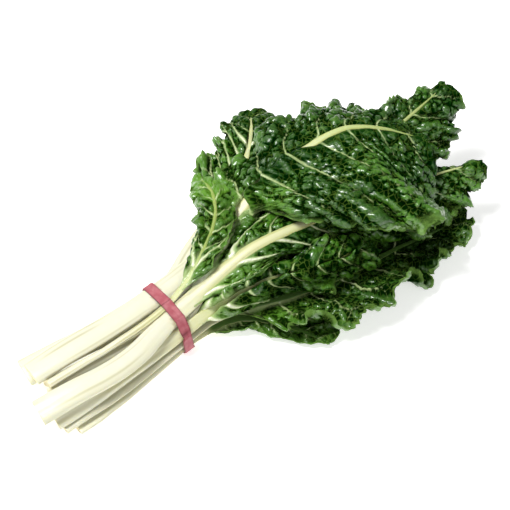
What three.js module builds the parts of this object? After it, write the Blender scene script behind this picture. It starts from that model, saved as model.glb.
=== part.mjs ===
// A bunch of white-stalked chard lying on a flat surface, held by one rubber band.
//
// Millimetres, +Z up. +X runs along the bunch from the cut stalk ends to the leaf tips, and +Z is
// away from the surface that the bunch lies on. Each leaf is two solids: its pale stalk, which
// carries on into the blade as the midrib, and its green blade, which is slotted to take the midrib.
//
// Every leaf is laid out by hand as a curve for its stalk and a few widths and angles for its blade.
// The leaves then grow out from their midribs in small steps. At each step they push each other
// apart, which packs them closely without any two of them crossing.

import * as THREE from "three";

// ---------------------------------------------------------------- sizes shared by all the leaves
const BLADE_THICKNESS = 0.9;
const LEAST_BLADE_THICKNESS = 0.7; // where it is pressed flat
const SEAM_GAP = 0.4; // between a midrib and the blade that it carries
const VEIN_HEIGHT = 1.3; // how far a side vein stands out of the blade's outer face, at the midrib
const FULL_WAVE_REACH = 64; // a half with a longer or shorter vein than this waves less
const PUCKER_HEIGHT = 2.0; // how far the blade bulges between two side veins
const VEIN_EVERY = 3; // a side vein runs along every third row
const VEIN_BEND = 16; // degrees by which a side vein has turned outwards at the margin
const WAVE_RISE = 2.2; // how much faster a wave grows towards the margin than its angle alone

const STALK_DEPTH_SHARE = 0.34; // a stalk's depth over its width
const STALK_ROUND_SHARE = 0.56; // the share of that depth on the rounded outer side
const STALK_GROOVE = 0.4; // how much of the inner side is taken away along its middle
const STALK_END_FLARE = 1.2; // a cut end is this much wider than the stalk at the band
const RIB_START_SHARE = 0.82; // the midrib's width where the blade starts, over the stalk's width
const RIB_TIP_WIDTH = 2.2;
const LEAST_RIB_DEPTH = 1.9;

const BAND_WIDTH = 9;
const BAND_THICKNESS = 1.3;
const BAND_GAP = 0.5;
const BAND_X = 4;
const BAND_SLANT = 0.1; // the band's shift along X for each millimetre towards +Y
const BAND_CORNERS = 28;

// ---------------------------------------------------------------- how finely the solids are cut up
const BLADE_ROWS = 24;
const RIB_ROWS = 21; // the two halves of a blade join past this row
const COLUMN_PLACES = [0, 0.25, 0.47, 0.67, 0.85, 1]; // from the midrib to the margin
const HALF_COLUMNS = COLUMN_PLACES.length - 1;
const PETIOLE_STATIONS = 8; // from the cut end to where the blade starts
const SECTION_SIDES = 10;
const ARC_STEPS = 12; // along one side vein, when its curve is added up

// ---------------------------------------------------------------- the leaves
// path: the stalk and midrib's centre line, from the cut end to the tip.
// bare: how much of that line has no blade.
// width: the stalk's width at the band.
// sweep: degrees from the midrib to a side vein, at the blade's base and tip.
// facing: where the rounded outer side faces, in degrees about +X from +Y towards +Z, at the band
//   and at the tip.
// left, right: the blade's two halves, seen from outside with the tip ahead.
//   reach: the longest side vein.
//   from: the share of the blade's length along which this half is only a narrow wing.
//   droop: degrees by which it leaves the midrib bent away from the outer side, from base to tip.
//   curl: degrees more by which it has bent at the margin, from base to tip.
// wave: degrees by which the margin swings in and out, and how many waves it has.
const LEAVES = {
  top_near: {
    path: [[-121, 4, 15], [-83, -5, 20], [-41, -9, 22], [0, -2, 24], [31, -3, 31], [65, -5, 41],
      [90, -9, 47], [113, -15, 48], [150, -23, 46], [200, -37, 46], [274, -69, 49]],
    bare: 142, width: 18, sweep: [34, 40], facing: [95, 108],
    left: { reach: 41, from: 0.03, droop: [-26, 16, 20, 16], curl: [40, 50, 50, 30] },
    right: { reach: 76, from: 0, droop: [24, 14, 14, 12], curl: [66, 50, 60, 50] },
    wave: [34, 6.2], seed: 11,
  },
  top_far: {
    path: [[-104, 29, 16], [-60, 24, 21], [0, 19, 22], [60, 21, 26], [95, 25, 39], [127, 26, 57],
      [168, 17, 77], [195, 8, 84], [216, -8, 82], [242, -36, 72]],
    bare: 184, width: 20, sweep: [76, 42], facing: [80, 105],
    left: { reach: 50, from: 0.06, droop: [0, 8, 20, 26], curl: [40, 60, 60, 50] },
    right: { reach: 120, from: 0.18, droop: [-66, -38, -8, 0], curl: [110, 90, 66, 50] },
    wave: [30, 5.2], seed: 23,
  },
  inner: {
    path: [[-105, 12, 8], [-60, 6, 10], [0, 0, 12], [60, 6, 22], [120, 8, 36], [180, 3, 50],
      [238, -6, 64], [296, -7, 75]],
    bare: 215, width: 14, sweep: [38, 38], facing: [170, 92],
    left: { reach: 37, from: 0, droop: [0, -4, -6, 0], curl: [36, 36, 40, 40] },
    right: { reach: 70, from: 0, droop: [0, 0, 4, 8], curl: [40, 40, 44, 40] },
    wave: [34, 5.5], seed: 37,
  },
  far_back: {
    path: [[-100, 22, 7], [-60, 17, 8], [0, 12, 10], [60, 22, 20], [120, 36, 33], [180, 46, 46],
      [212, 46, 52], [240, 44, 54]],
    bare: 180, width: 18, sweep: [38, 38], facing: [40, 60],
    left: { reach: 84, from: 0, droop: [8, 4, 0, 0], curl: [40, 40, 40, 40] },
    right: { reach: 56, from: 0, droop: [8, 4, 0, 0], curl: [40, 40, 40, 40] },
    wave: [34, 6], seed: 41,
  },
  far_side: {
    path: [[-107, 34, 9], [-60, 25, 14], [0, 12, 17], [60, 31, 24], [100, 44, 32], [133, 58, 43],
      [160, 78, 49], [178, 98, 48]],
    bare: 190, width: 20, sweep: [40, 38], facing: [96, 80],
    left: { reach: 50, from: 0.04, droop: [6, 6, 6, 6], curl: [24, 34, 36, 36] },
    right: { reach: 60, from: 0, droop: [8, 8, 8, 6], curl: [30, 40, 42, 42] },
    wave: [32, 4.6], seed: 53,
  },
  far_small: {
    path: [[-102, 16, 20], [-50, 9, 24], [0, 6, 28], [26, 8, 36], [52, 17, 45], [76, 30, 51],
      [92, 50, 52], [102, 80, 42]],
    bare: 124, width: 6, sweep: [30, 38], facing: [85, 80],
    left: { reach: 27, from: 0.1, droop: [0, 0, 4, 6], curl: [60, 60, 70, 60] },
    right: { reach: 23, from: 0, droop: [0, 0, 4, 6], curl: [40, 40, 40, 40] },
    wave: [30, 3.6], seed: 67,
  },
  near_upper: {
    path: [[-114, -4, 8], [-60, -10, 13], [0, -12, 16], [30, -15, 22], [67, -24, 31], [97, -37, 34],
      [130, -50, 33], [160, -58, 29]],
    bare: 132, width: 12, sweep: [36, 38], facing: [120, 140],
    left: { reach: 36, from: 0, droop: [0, 4, 8, 8], curl: [30, 30, 40, 40] },
    right: { reach: 58, from: 0, droop: [10, 14, 18, 18], curl: [70, 70, 60, 60] },
    wave: [34, 5], seed: 71,
  },
  near_low: {
    path: [[-110, -8, 4], [-60, -12, 7], [0, -12, 9], [30, -12, 11], [60, -23, 14], [92, -39, 16],
      [136, -53, 17], [196, -65, 15], [250, -80, 14]],
    bare: 160, width: 14, sweep: [56, 40], facing: [268, 262],
    left: { reach: 56, from: 0, droop: [0, 0, 0, 0], curl: [20, 20, 14, 14] },
    right: { reach: 60, from: 0, droop: [16, 16, 16, 10], curl: [26, 26, 20, 14] },
    wave: [28, 6.2], seed: 83,
  },
  near_ground: {
    path: [[-104, -11, 3], [-60, -13, 3.5], [0, -11, 5.2], [28, -15, 5], [52, -28, 6], [70, -54, 6],
      [84, -90, 6]],
    bare: 124, width: 15, sweep: [36, 38], facing: [268, 262],
    left: { reach: 16, from: 0, droop: [0, 0, 0, 0], curl: [20, 20, 14, 14] },
    right: { reach: 46, from: 0, droop: [0, 0, 0, 0], curl: [20, 20, 14, 14] },
    wave: [30, 4], seed: 97,
  },
  ground: {
    path: [[-98, 8, 3.4], [-50, 7, 3.4], [0, 8, 5.4], [60, 12, 6], [120, 10, 7], [180, 2, 7],
      [236, -6, 8]],
    bare: 165, width: 18, sweep: [40, 38], facing: [270, 275],
    left: { reach: 54, from: 0, droop: [-6, -6, -6, 0], curl: [4, 4, 8, 10] },
    right: { reach: 72, from: 0, droop: [4, 4, 4, 4], curl: [24, 24, 20, 20] },
    wave: [26, 6], seed: 103,
  },
};

const COLOURS = { stalk: 0xeef0cf, blade: 0x2f4f1e, band: 0xc9596a };

// ---------------------------------------------------------------- how the leaves grow and settle
const BALL_RADIUS = 3.3; // half of the room that two blades leave each other
const BALL_SPACING = 5.5;
const STALK_CLEARANCE = 0.35; // added to half a stalk's depth
const BLADE_LOW = 1; // the lowest that a blade's middle comes to the surface that it lies on
const FIRST_GROWTH = 0.08; // the share of its width that a blade starts with
const GROWTH_STEPS = 90;
const TURNS_PER_STEP = 6;
const SETTLING_TURNS = 200;
const CLEARING_TURNS = 100;
const LONGEST_PUSH = 1.2; // in one turn
const PUSH_SHARE = 0.55; // of an overlap, that each of the two gives way by
const STALK_GIVE = 0.35; // how readily a stalk moves, against a blade
const BLADE_SMOOTHING = 0.3;
const STALK_SMOOTHING = 0.5;
const STALK_SMOOTHING_PASSES = 3;
const RETURN_SHARE = 0.004; // of what a point has moved, that it takes back in each turn
const SELF_REACH = 42; // two points of one blade further apart than this along it push each other too
const STALK_REACH = 26; // and so do a blade's point and its own midrib's
const BAND_ROOM = 3; // how far past the band's edges the stalks stay clear of the surface
const SPREAD_WEIGHT = 0.6; // of the balls on one point, when their pushes are added up
const CLEARED_COLUMNS = 3; // the blade's columns that are kept off their own midrib
const CLEARED_ROWS = 8; // how many rows of the midrib are tested, from the one before the point's
const CLEARANCE_BESIDE = 1.2; // added to the gap at the seam

const radians = THREE.MathUtils.degToRad;
const lerp = THREE.MathUtils.lerp;

/** A repeatable draw of numbers from 0 to 1. */
function seeded(seed) {
  let state = seed >>> 0;
  return () => {
    state = (state + 0x6d2b79f5) >>> 0;
    let t = state;
    t = Math.imul(t ^ (t >>> 15), t | 1);
    t ^= t + Math.imul(t ^ (t >>> 7), t | 61);
    return ((t ^ (t >>> 14)) >>> 0) / 4294967296;
  };
}

/** Where the band crosses the bunch at a place across it. */
function bandX(y) {
  return BAND_X + BAND_SLANT * y;
}

/** The length of a side vein over the longest, from the blade's base (0) to its tip (1). */
function outline(along, from) {
  const share = Math.max(0, (along - from) / (1 - from));
  return 0.1 + 0.9 * Math.sin(Math.PI * share ** 0.7) ** 0.7;
}

/** A value between evenly spread ones. */
function between(values, along) {
  const place = Math.min(along, 0.9999) * (values.length - 1);
  const before = Math.floor(place);
  return lerp(values[before], values[before + 1], place - before);
}

/** A leaf as drawn by hand, before the others push it. */
class Leaf {
  constructor(name, spec) {
    Object.assign(this, spec, { name, halves: [spec.left, spec.right] });
    const points = spec.path.map((p) => new THREE.Vector3(...p));
    this.curve = new THREE.CatmullRomCurve3(points, false, "centripetal");
    this.curve.arcLengthDivisions = 400;
    this.length = this.curve.getLength();
    const draw = seeded(spec.seed);
    this.waves = [0, 1].map(() => [1, 0.62, 0.3].map((times, k) => ({
      count: spec.wave[1] * times * (0.9 + 0.2 * draw()),
      phase: 2 * Math.PI * draw(),
      share: [0.6, 0.5, 0.2][k],
    })));
    // Stations run from the cut end to the tip, and those of the blade are also its rows.
    this.stations = [];
    for (let k = 0; k < PETIOLE_STATIONS; k++) this.stations.push((this.bare * k) / PETIOLE_STATIONS);
    for (let row = 0; row <= BLADE_ROWS; row++) {
      this.stations.push(lerp(this.bare, this.length, row / BLADE_ROWS));
    }
    this.restCentres = this.stations.map((s) => this.curve.getPointAt(Math.min(1, s / this.length)));
    this.moved = new Float64Array(3 * this.stations.length);
    this.bladeMoved = new Float64Array(3 * (BLADE_ROWS + 1) * 2 * HALF_COLUMNS);
    this.bladeTarget = new Float64Array(this.bladeMoved.length);
  }

  /** The stalk's width at a distance along the centre line. */
  widthAt(s) {
    if (s < this.bare) {
      const share = s / this.bare;
      return this.width * lerp(STALK_END_FLARE, RIB_START_SHARE, share ** 1.2);
    }
    const along = (s - this.bare) / (this.length - this.bare);
    return lerp(this.width * RIB_START_SHARE, RIB_TIP_WIDTH, Math.min(1, along / 0.92) ** 0.72);
  }

  depthAt(s) {
    return Math.max(LEAST_RIB_DEPTH, STALK_DEPTH_SHARE * this.widthAt(s));
  }

  /** Centre, tangent, outward normal and left-hand direction at each station, as it now lies. */
  frames() {
    const centres = this.restCentres.map((c, k) => c.clone().add(
      new THREE.Vector3(this.moved[3 * k], this.moved[3 * k + 1], this.moved[3 * k + 2])));
    return centres.map((centre, k) => {
      const before = centres[Math.max(0, k - 1)];
      const after = centres[Math.min(centres.length - 1, k + 1)];
      const tangent = after.clone().sub(before).normalize();
      const turn = radians(lerp(...this.facing, this.stations[k] / this.length));
      const normal = new THREE.Vector3(0, Math.cos(turn), Math.sin(turn));
      normal.addScaledVector(tangent, -normal.dot(tangent)).normalize();
      return { centre, tangent, normal, left: normal.clone().cross(tangent) };
    });
  }

  /**
   * Where a blade meets the midrib. side is 0 for the left half and 1 for the right.
   * The midrib's rings stand at every second row and its sides are straight between them.
   */
  seam(frames, row, side) {
    const edge = (at) => {
      const frame = frames[PETIOLE_STATIONS + at];
      const out = at < RIB_ROWS ? this.widthAt(this.stations[PETIOLE_STATIONS + at]) / 2 + SEAM_GAP : 0;
      return frame.centre.clone().addScaledVector(frame.left, side === 0 ? out : -out);
    };
    return row % 2 && row < RIB_ROWS - 1 ? edge(row - 1).lerp(edge(row + 1), 0.5) : edge(row);
  }

  /** One side vein's points at the columns past the seam, with the blade grown to a share of its width. */
  vein(frames, row, side, growth) {
    const frame = frames[PETIOLE_STATIONS + row];
    const along = row / BLADE_ROWS;
    const half = this.halves[side];
    const reach = half.reach * outline(along, half.from) * growth;
    const droop = between(half.droop, along);
    const curl = between(half.curl, along);
    const fullness = half.reach / FULL_WAVE_REACH;
    const wave = this.wave[0] * growth * (fullness < 1 ? fullness ** 2 : 1 / fullness) * (1 - along ** 5);
    const swing = this.waves[side].reduce(
      (sum, w) => sum + w.share * Math.sin(2 * Math.PI * w.count * along + w.phase), 0);
    const bulge = row % VEIN_EVERY === 1 ? -0.6 : 0.6;
    const across = side === 0 ? frame.left : frame.left.clone().negate();
    const point = this.seam(frames, row, side);
    const points = [];
    let column = 1;
    for (let step = 1; step <= ARC_STEPS * HALF_COLUMNS && column <= HALF_COLUMNS; step++) {
      const place = (step - 0.5) / (ARC_STEPS * HALF_COLUMNS);
      const sweep = radians(lerp(...this.sweep, along) + VEIN_BEND * place);
      const bend = radians(droop + curl * place ** 1.3 + wave * swing * WAVE_RISE * place ** 1.5);
      const out = Math.sin(sweep) * Math.cos(bend);
      const down = Math.sin(sweep) * Math.sin(bend);
      const length = reach / (ARC_STEPS * HALF_COLUMNS);
      point.addScaledVector(frame.tangent, Math.cos(sweep) * length)
        .addScaledVector(across, out * length)
        .addScaledVector(frame.normal, -down * length);
      if (step / (ARC_STEPS * HALF_COLUMNS) >= COLUMN_PLACES[column] - 1e-6) {
        const hump = PUCKER_HEIGHT * bulge * growth * Math.sin(Math.PI * COLUMN_PLACES[column]) ** 0.7;
        points.push(point.clone()
          .addScaledVector(frame.normal, hump * Math.cos(bend))
          .addScaledVector(across, hump * Math.sin(bend)));
        column++;
      }
    }
    return points;
  }

  /** Writes where the blade would lie if nothing pushed it. */
  aim(growth) {
    const rest = this.moved;
    this.moved = new Float64Array(rest.length);
    const frames = this.frames();
    this.moved = rest;
    for (let row = 0; row <= BLADE_ROWS; row++) {
      for (const side of [0, 1]) {
        this.vein(frames, row, side, growth).forEach((p, c) => {
          p.toArray(this.bladeTarget, 3 * this.index(row, side, c + 1));
        });
      }
    }
  }

  /** A blade point's place in the arrays. Column 0 is the seam, which has none. */
  index(row, side, column) {
    return (row * 2 + side) * HALF_COLUMNS + column - 1;
  }

  /** The blade's middle surface as it now lies, as points[row][side][column]. */
  surface() {
    const frames = this.frames();
    const points = [];
    for (let row = 0; row <= BLADE_ROWS; row++) {
      points.push([0, 1].map((side) => {
        const line = [this.seam(frames, row, side)];
        for (let column = 1; column <= HALF_COLUMNS; column++) {
          const at = 3 * this.index(row, side, column);
          line.push(new THREE.Vector3(
            this.bladeTarget[at] + this.bladeMoved[at],
            this.bladeTarget[at + 1] + this.bladeMoved[at + 1],
            this.bladeTarget[at + 2] + this.bladeMoved[at + 2]));
        }
        return line;
      }));
    }
    return points;
  }
}

/** The heap of leaves, felt out by small balls spread over every stalk and blade. */
class Heap {
  constructor(leaves) {
    this.leaves = leaves;
    this.balls = [];
    leaves.forEach((leaf, owner) => {
      this.addStalkBalls(leaf, owner);
      this.addBladeBalls(leaf, owner);
    });
    this.at = new Float64Array(3 * this.balls.length);
  }

  /** Three balls abreast, at each station and halfway to the next. */
  addStalkBalls(leaf, owner) {
    const frames = leaf.frames();
    for (let k = 0; k < leaf.stations.length - 1; k++) {
      const count = Math.max(2, Math.round((leaf.stations[k + 1] - leaf.stations[k]) / 5));
      for (let n = 0; n < count; n++) {
        const share = n / count;
        const s = lerp(leaf.stations[k], leaf.stations[k + 1], share);
        // Past the midrib's end its line is only the fold between the blade's halves.
        const folded = k >= PETIOLE_STATIONS + RIB_ROWS - 1;
        const radius = folded ? BALL_RADIUS : leaf.depthAt(s) / 2 + STALK_CLEARANCE;
        const out = folded ? 0 : Math.max(0, leaf.widthAt(s) / 2 - leaf.depthAt(s) * 0.375);
        const left = frames[k].left.clone().lerp(frames[k + 1].left, share).normalize();
        const centre = leaf.restCentres[k].clone().lerp(leaf.restCentres[k + 1], share);
        for (const offset of out > 2.5 ? [-out, 0, out] : [0]) {
          this.balls.push({
            owner, radius, stalk: true, u: s, v: 0,
            low: folded ? BLADE_LOW : leaf.depthAt(s) / 2,
            rest: centre.clone().addScaledVector(left, offset).toArray(),
            parts: [[k, 1 - share], [k + 1, share]],
          });
        }
      }
    }
  }

  /** Balls over the blade, no further apart than BALL_SPACING while it lies as it was drawn. */
  addBladeBalls(leaf, owner) {
    const rowSteps = Math.ceil((leaf.length - leaf.bare) / BLADE_ROWS / BALL_SPACING);
    for (const side of [0, 1]) {
      const half = leaf.halves[side];
      for (let r = 0; r <= rowSteps * BLADE_ROWS; r++) {
        const along = r / (rowSteps * BLADE_ROWS);
        const row = Math.min(BLADE_ROWS - 1, Math.floor(r / rowSteps));
        const rowShare = r / rowSteps - row;
        const reach = half.reach * outline(along, half.from);
        for (let column = 0; column < HALF_COLUMNS; column++) {
          const across = reach * (COLUMN_PLACES[column + 1] - COLUMN_PLACES[column]);
          const steps = Math.ceil(across / BALL_SPACING);
          for (let n = 1; n <= steps; n++) {
            const share = n / steps;
            const place = lerp(COLUMN_PLACES[column], COLUMN_PLACES[column + 1], share);
            // Each cell of the blade is two triangles, which share the corner nearest the base and seam.
            const parts = [
              [row, side, column, 1 - Math.max(rowShare, share)],
              [row + 1, side, column + 1, Math.min(rowShare, share)],
              rowShare > share
                ? [row + 1, side, column, rowShare - share]
                : [row, side, column + 1, share - rowShare],
            ].filter((part) => part[3] > 0);
            this.balls.push({
              owner, radius: BALL_RADIUS, stalk: false, low: BLADE_LOW, parts,
              u: lerp(leaf.bare, leaf.length, along), v: (side ? -1 : 1) * place * reach,
            });
          }
        }
      }
    }
  }

  /** Where each ball is now. */
  place() {
    this.balls.forEach((ball, b) => {
      const leaf = this.leaves[ball.owner];
      for (let axis = 0; axis < 3; axis++) {
        let sum = 0;
        if (ball.stalk) {
          sum = ball.rest[axis];
          for (const [k, w] of ball.parts) sum += w * leaf.moved[3 * k + axis];
        } else {
          for (const [row, side, column, w] of ball.parts) {
            sum += w * (column === 0
              ? this.seams[ball.owner][row][side].getComponent(axis)
              : leaf.bladeTarget[3 * leaf.index(row, side, column) + axis]
                + leaf.bladeMoved[3 * leaf.index(row, side, column) + axis]);
          }
        }
        this.at[3 * b + axis] = sum;
      }
    });
  }

  /** Pushes apart the balls of different leaves, and those of one blade that are far apart along it. */
  push() {
    const { at, balls } = this;
    const cell = 2 * (Math.max(...balls.map((b) => b.radius)));
    const key = (x, y, z) => (x + 512) * 1048576 + (y + 512) * 1024 + (z + 512);
    const cells = new Map();
    const home = new Int32Array(at.length);
    for (let b = 0; b < balls.length; b++) {
      for (let axis = 0; axis < 3; axis++) home[3 * b + axis] = Math.floor(at[3 * b + axis] / cell);
      const id = key(home[3 * b], home[3 * b + 1], home[3 * b + 2]);
      if (!cells.has(id)) cells.set(id, []);
      cells.get(id).push(b);
    }
    const push = new Float64Array(at.length);
    let deepest = 0;
    const meet = (a, b) => {
      const first = balls[a];
      const second = balls[b];
      const room = first.radius + second.radius;
      const dx = at[3 * a] - at[3 * b];
      const dy = at[3 * a + 1] - at[3 * b + 1];
      const dz = at[3 * a + 2] - at[3 * b + 2];
      const square = dx * dx + dy * dy + dz * dz;
      if (square >= room * room || square === 0) return;
      if (first.owner === second.owner) {
        if (first.stalk && second.stalk) return;
        const reach = first.stalk || second.stalk ? STALK_REACH : SELF_REACH;
        if (Math.hypot(first.u - second.u, first.v - second.v) < reach) return;
      }
      const apart = Math.sqrt(square);
      deepest = Math.max(deepest, room - apart);
      const share = (PUSH_SHARE * (room - apart)) / apart;
      for (const [ball, sign] of [[a, 1], [b, -1]]) {
        const give = sign * share * (balls[ball].stalk ? STALK_GIVE : 1);
        push[3 * ball] += give * dx;
        push[3 * ball + 1] += give * dy;
        push[3 * ball + 2] += give * dz;
      }
    };
    for (const [id, members] of cells) {
      const [b0] = members;
      const [x, y, z] = [home[3 * b0], home[3 * b0 + 1], home[3 * b0 + 2]];
      for (let i = -1; i <= 1; i++) for (let j = -1; j <= 1; j++) for (let k = -1; k <= 1; k++) {
        const other = key(x + i, y + j, z + k);
        if (other < id) continue;
        const list = cells.get(other);
        if (!list) continue;
        for (let m = 0; m < members.length; m++) {
          for (let n = other === id ? m + 1 : 0; n < list.length; n++) meet(members[m], list[n]);
        }
      }
    }
    for (let b = 0; b < balls.length; b++) {
      const underBand = Math.abs(at[3 * b] - bandX(at[3 * b + 1])) < BAND_WIDTH / 2 + BAND_ROOM;
      const low = balls[b].low + (underBand ? BAND_THICKNESS + 2 * BAND_GAP : 0);
      if (at[3 * b + 2] < low) push[3 * b + 2] += low - at[3 * b + 2];
    }
    this.spread(push);
    return deepest;
  }

  /** Moves the stations and blade points that carry the pushed balls. */
  spread(push) {
    const sums = this.leaves.map((leaf) => ({
      stalk: new Float64Array(leaf.moved.length),
      stalkWeight: new Float64Array(leaf.stations.length),
      blade: new Float64Array(leaf.bladeMoved.length),
      bladeWeight: new Float64Array(leaf.bladeMoved.length / 3),
    }));
    this.balls.forEach((ball, b) => {
      const strength = Math.hypot(push[3 * b], push[3 * b + 1], push[3 * b + 2]);
      if (strength === 0) return;
      const sum = sums[ball.owner];
      for (const part of ball.parts) {
        const onStalk = ball.stalk || part[2] === 0;
        const k = ball.stalk ? part[0]
          : onStalk ? PETIOLE_STATIONS + part[0]
            : this.leaves[ball.owner].index(part[0], part[1], part[2]);
        const w = part[part.length - 1] * (ball.stalk || !onStalk ? 1 : STALK_GIVE);
        const [field, weight] = onStalk ? [sum.stalk, sum.stalkWeight] : [sum.blade, sum.bladeWeight];
        for (let axis = 0; axis < 3; axis++) field[3 * k + axis] += w * push[3 * b + axis];
        weight[k] += w * SPREAD_WEIGHT;
      }
    });
    this.leaves.forEach((leaf, n) => {
      const { stalk, stalkWeight, blade, bladeWeight } = sums[n];
      const fields = [[leaf.moved, stalk, stalkWeight], [leaf.bladeMoved, blade, bladeWeight]];
      for (const [to, field, weight] of fields) {
        for (let k = 0; k < weight.length; k++) {
          if (weight[k] === 0) continue;
          const scale = 1 / Math.max(1, weight[k]);
          const size = Math.hypot(field[3 * k], field[3 * k + 1], field[3 * k + 2]) * scale;
          const limited = size > LONGEST_PUSH ? (scale * LONGEST_PUSH) / size : scale;
          for (let axis = 0; axis < 3; axis++) to[3 * k + axis] += limited * field[3 * k + axis];
        }
      }
    });
  }

  /** Evens out how far neighbouring points have moved, so that a leaf bends and doesn't crease. */
  smooth(share) {
    for (const leaf of this.leaves) {
      for (let pass = 0; pass < STALK_SMOOTHING_PASSES; pass++) {
        const old = leaf.moved.slice();
        const last = leaf.stations.length - 1;
        for (let k = 0; k <= last; k++) {
          const [a, b] = [Math.max(0, k - 1), Math.min(last, k + 1)];
          for (let axis = 0; axis < 3; axis++) {
            const mean = (old[3 * a + axis] + old[3 * b + axis]) / 2;
            leaf.moved[3 * k + axis] += STALK_SMOOTHING * (mean - old[3 * k + axis]);
          }
        }
      }
      const old = leaf.bladeMoved.slice();
      for (let row = 0; row <= BLADE_ROWS; row++) {
        for (const side of [0, 1]) {
          for (let column = 1; column <= HALF_COLUMNS; column++) {
            const here = 3 * leaf.index(row, side, column);
            for (let axis = 0; axis < 3; axis++) {
              let sum = column === 1
                ? 2 * leaf.moved[3 * (PETIOLE_STATIONS + row) + axis]
                : old[3 * leaf.index(row, side, column - 1) + axis];
              let count = column === 1 ? 2 : 1;
              if (column < HALF_COLUMNS) {
                sum += old[3 * leaf.index(row, side, column + 1) + axis];
                count++;
              }
              if (row > 0) {
                sum += old[3 * leaf.index(row - 1, side, column) + axis];
                count++;
              }
              if (row < BLADE_ROWS) {
                sum += old[3 * leaf.index(row + 1, side, column) + axis];
                count++;
              }
              leaf.bladeMoved[here + axis] += share * (sum / count - old[here + axis]);
            }
          }
        }
      }
      for (let k = 0; k < leaf.moved.length; k++) leaf.moved[k] *= 1 - RETURN_SHARE;
      for (let k = 0; k < leaf.bladeMoved.length; k++) leaf.bladeMoved[k] *= 1 - RETURN_SHARE;
    }
  }

  /** Keeps the blade beside its own midrib off it, wherever the midrib bends towards that side. */
  clearMidrib(leaf, frames) {
    const spacing = (leaf.length - leaf.bare) / BLADE_ROWS;
    const offset = new THREE.Vector3();
    for (let row = 0; row <= BLADE_ROWS; row++) {
      for (const side of [0, 1]) {
        for (let column = 1; column <= CLEARED_COLUMNS; column++) {
          const at = 3 * leaf.index(row, side, column);
          for (let k = Math.max(0, row - 1); k < Math.min(row + CLEARED_ROWS, RIB_ROWS); k++) {
            const frame = frames[PETIOLE_STATIONS + k];
            const s = leaf.stations[PETIOLE_STATIONS + k];
            offset.fromArray(leaf.bladeTarget, at).sub(frame.centre);
            offset.x += leaf.bladeMoved[at];
            offset.y += leaf.bladeMoved[at + 1];
            offset.z += leaf.bladeMoved[at + 2];
            if (Math.abs(offset.dot(frame.tangent)) > 0.7 * spacing) continue;
            if (Math.abs(offset.dot(frame.normal)) > leaf.depthAt(s) + 1) continue;
            const across = side === 0 ? 1 : -1;
            const short = leaf.widthAt(s) / 2 + SEAM_GAP + CLEARANCE_BESIDE - across * offset.dot(frame.left);
            if (short <= 0) continue;
            leaf.bladeMoved[at] += across * short * frame.left.x;
            leaf.bladeMoved[at + 1] += across * short * frame.left.y;
            leaf.bladeMoved[at + 2] += across * short * frame.left.z;
          }
        }
      }
    }
  }

  turn(smoothing) {
    this.seams = this.leaves.map((leaf) => {
      const frames = leaf.frames();
      this.clearMidrib(leaf, frames);
      return Array.from({ length: BLADE_ROWS + 1 }, (_, row) => [0, 1].map(
        (side) => leaf.seam(frames, row, side)));
    });
    if (smoothing > 0) this.smooth(smoothing);
    this.place();
    return this.push();
  }

  grow() {
    for (let step = 0; step < GROWTH_STEPS; step++) {
      const growth = lerp(FIRST_GROWTH, 1, step / (GROWTH_STEPS - 1));
      for (const leaf of this.leaves) leaf.aim(growth);
      for (let n = 0; n < TURNS_PER_STEP; n++) this.turn(BLADE_SMOOTHING);
    }
    for (let n = 0; n < SETTLING_TURNS; n++) this.turn(BLADE_SMOOTHING * (1 - n / SETTLING_TURNS));
    let deepest = 0;
    for (let n = 0; n < CLEARING_TURNS; n++) deepest = this.turn(0);
    return deepest;
  }
}

/** A geometry from corner points and triangles. */
function geometryOf(points, triangles) {
  const geometry = new THREE.BufferGeometry();
  geometry.setAttribute("position", new THREE.Float32BufferAttribute(points.flatMap((p) => p.toArray()), 3));
  geometry.setIndex(triangles.flat());
  geometry.computeVertexNormals();
  return geometry;
}

/** The stalk and midrib: one tapering body, rounded outside and grooved inside. */
function stalkGeometry(leaf) {
  const frames = leaf.frames();
  const rings = frames.slice(0, PETIOLE_STATIONS + RIB_ROWS)
    .map((frame, k) => ({ frame, s: leaf.stations[k], k }))
    .filter(({ k }) => k <= PETIOLE_STATIONS || (k - PETIOLE_STATIONS) % 2 === 0);
  const points = [];
  for (const { frame, s } of rings) {
    const halfWidth = leaf.widthAt(s) / 2;
    const depth = leaf.depthAt(s);
    for (let n = 0; n < SECTION_SIDES; n++) {
      const angle = (2 * Math.PI * n) / SECTION_SIDES;
      const rise = Math.sin(angle);
      const up = rise >= 0
        ? depth * STALK_ROUND_SHARE * rise
        : depth * (1 - STALK_ROUND_SHARE) * rise * (1 - STALK_GROOVE * Math.abs(rise) ** 3);
      const point = frame.centre.clone()
        .addScaledVector(frame.left, halfWidth * Math.cos(angle))
        .addScaledVector(frame.normal, up);
      // Where a stalk lies on the surface its underside is pressed flat.
      point.z = Math.max(0, point.z);
      points.push(point);
    }
  }
  const triangles = [];
  for (let k = 0; k < rings.length - 1; k++) {
    for (let n = 0; n < SECTION_SIDES; n++) {
      const [a, b] = [k * SECTION_SIDES + n, k * SECTION_SIDES + ((n + 1) % SECTION_SIDES)];
      triangles.push([a, b, a + SECTION_SIDES], [b, b + SECTION_SIDES, a + SECTION_SIDES]);
    }
  }
  const lastRing = (rings.length - 1) * SECTION_SIDES;
  for (let n = 1; n < SECTION_SIDES - 1; n++) {
    triangles.push([0, n + 1, n], [lastRing, lastRing + n, lastRing + n + 1]);
  }
  return geometryOf(points, triangles);
}

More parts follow.
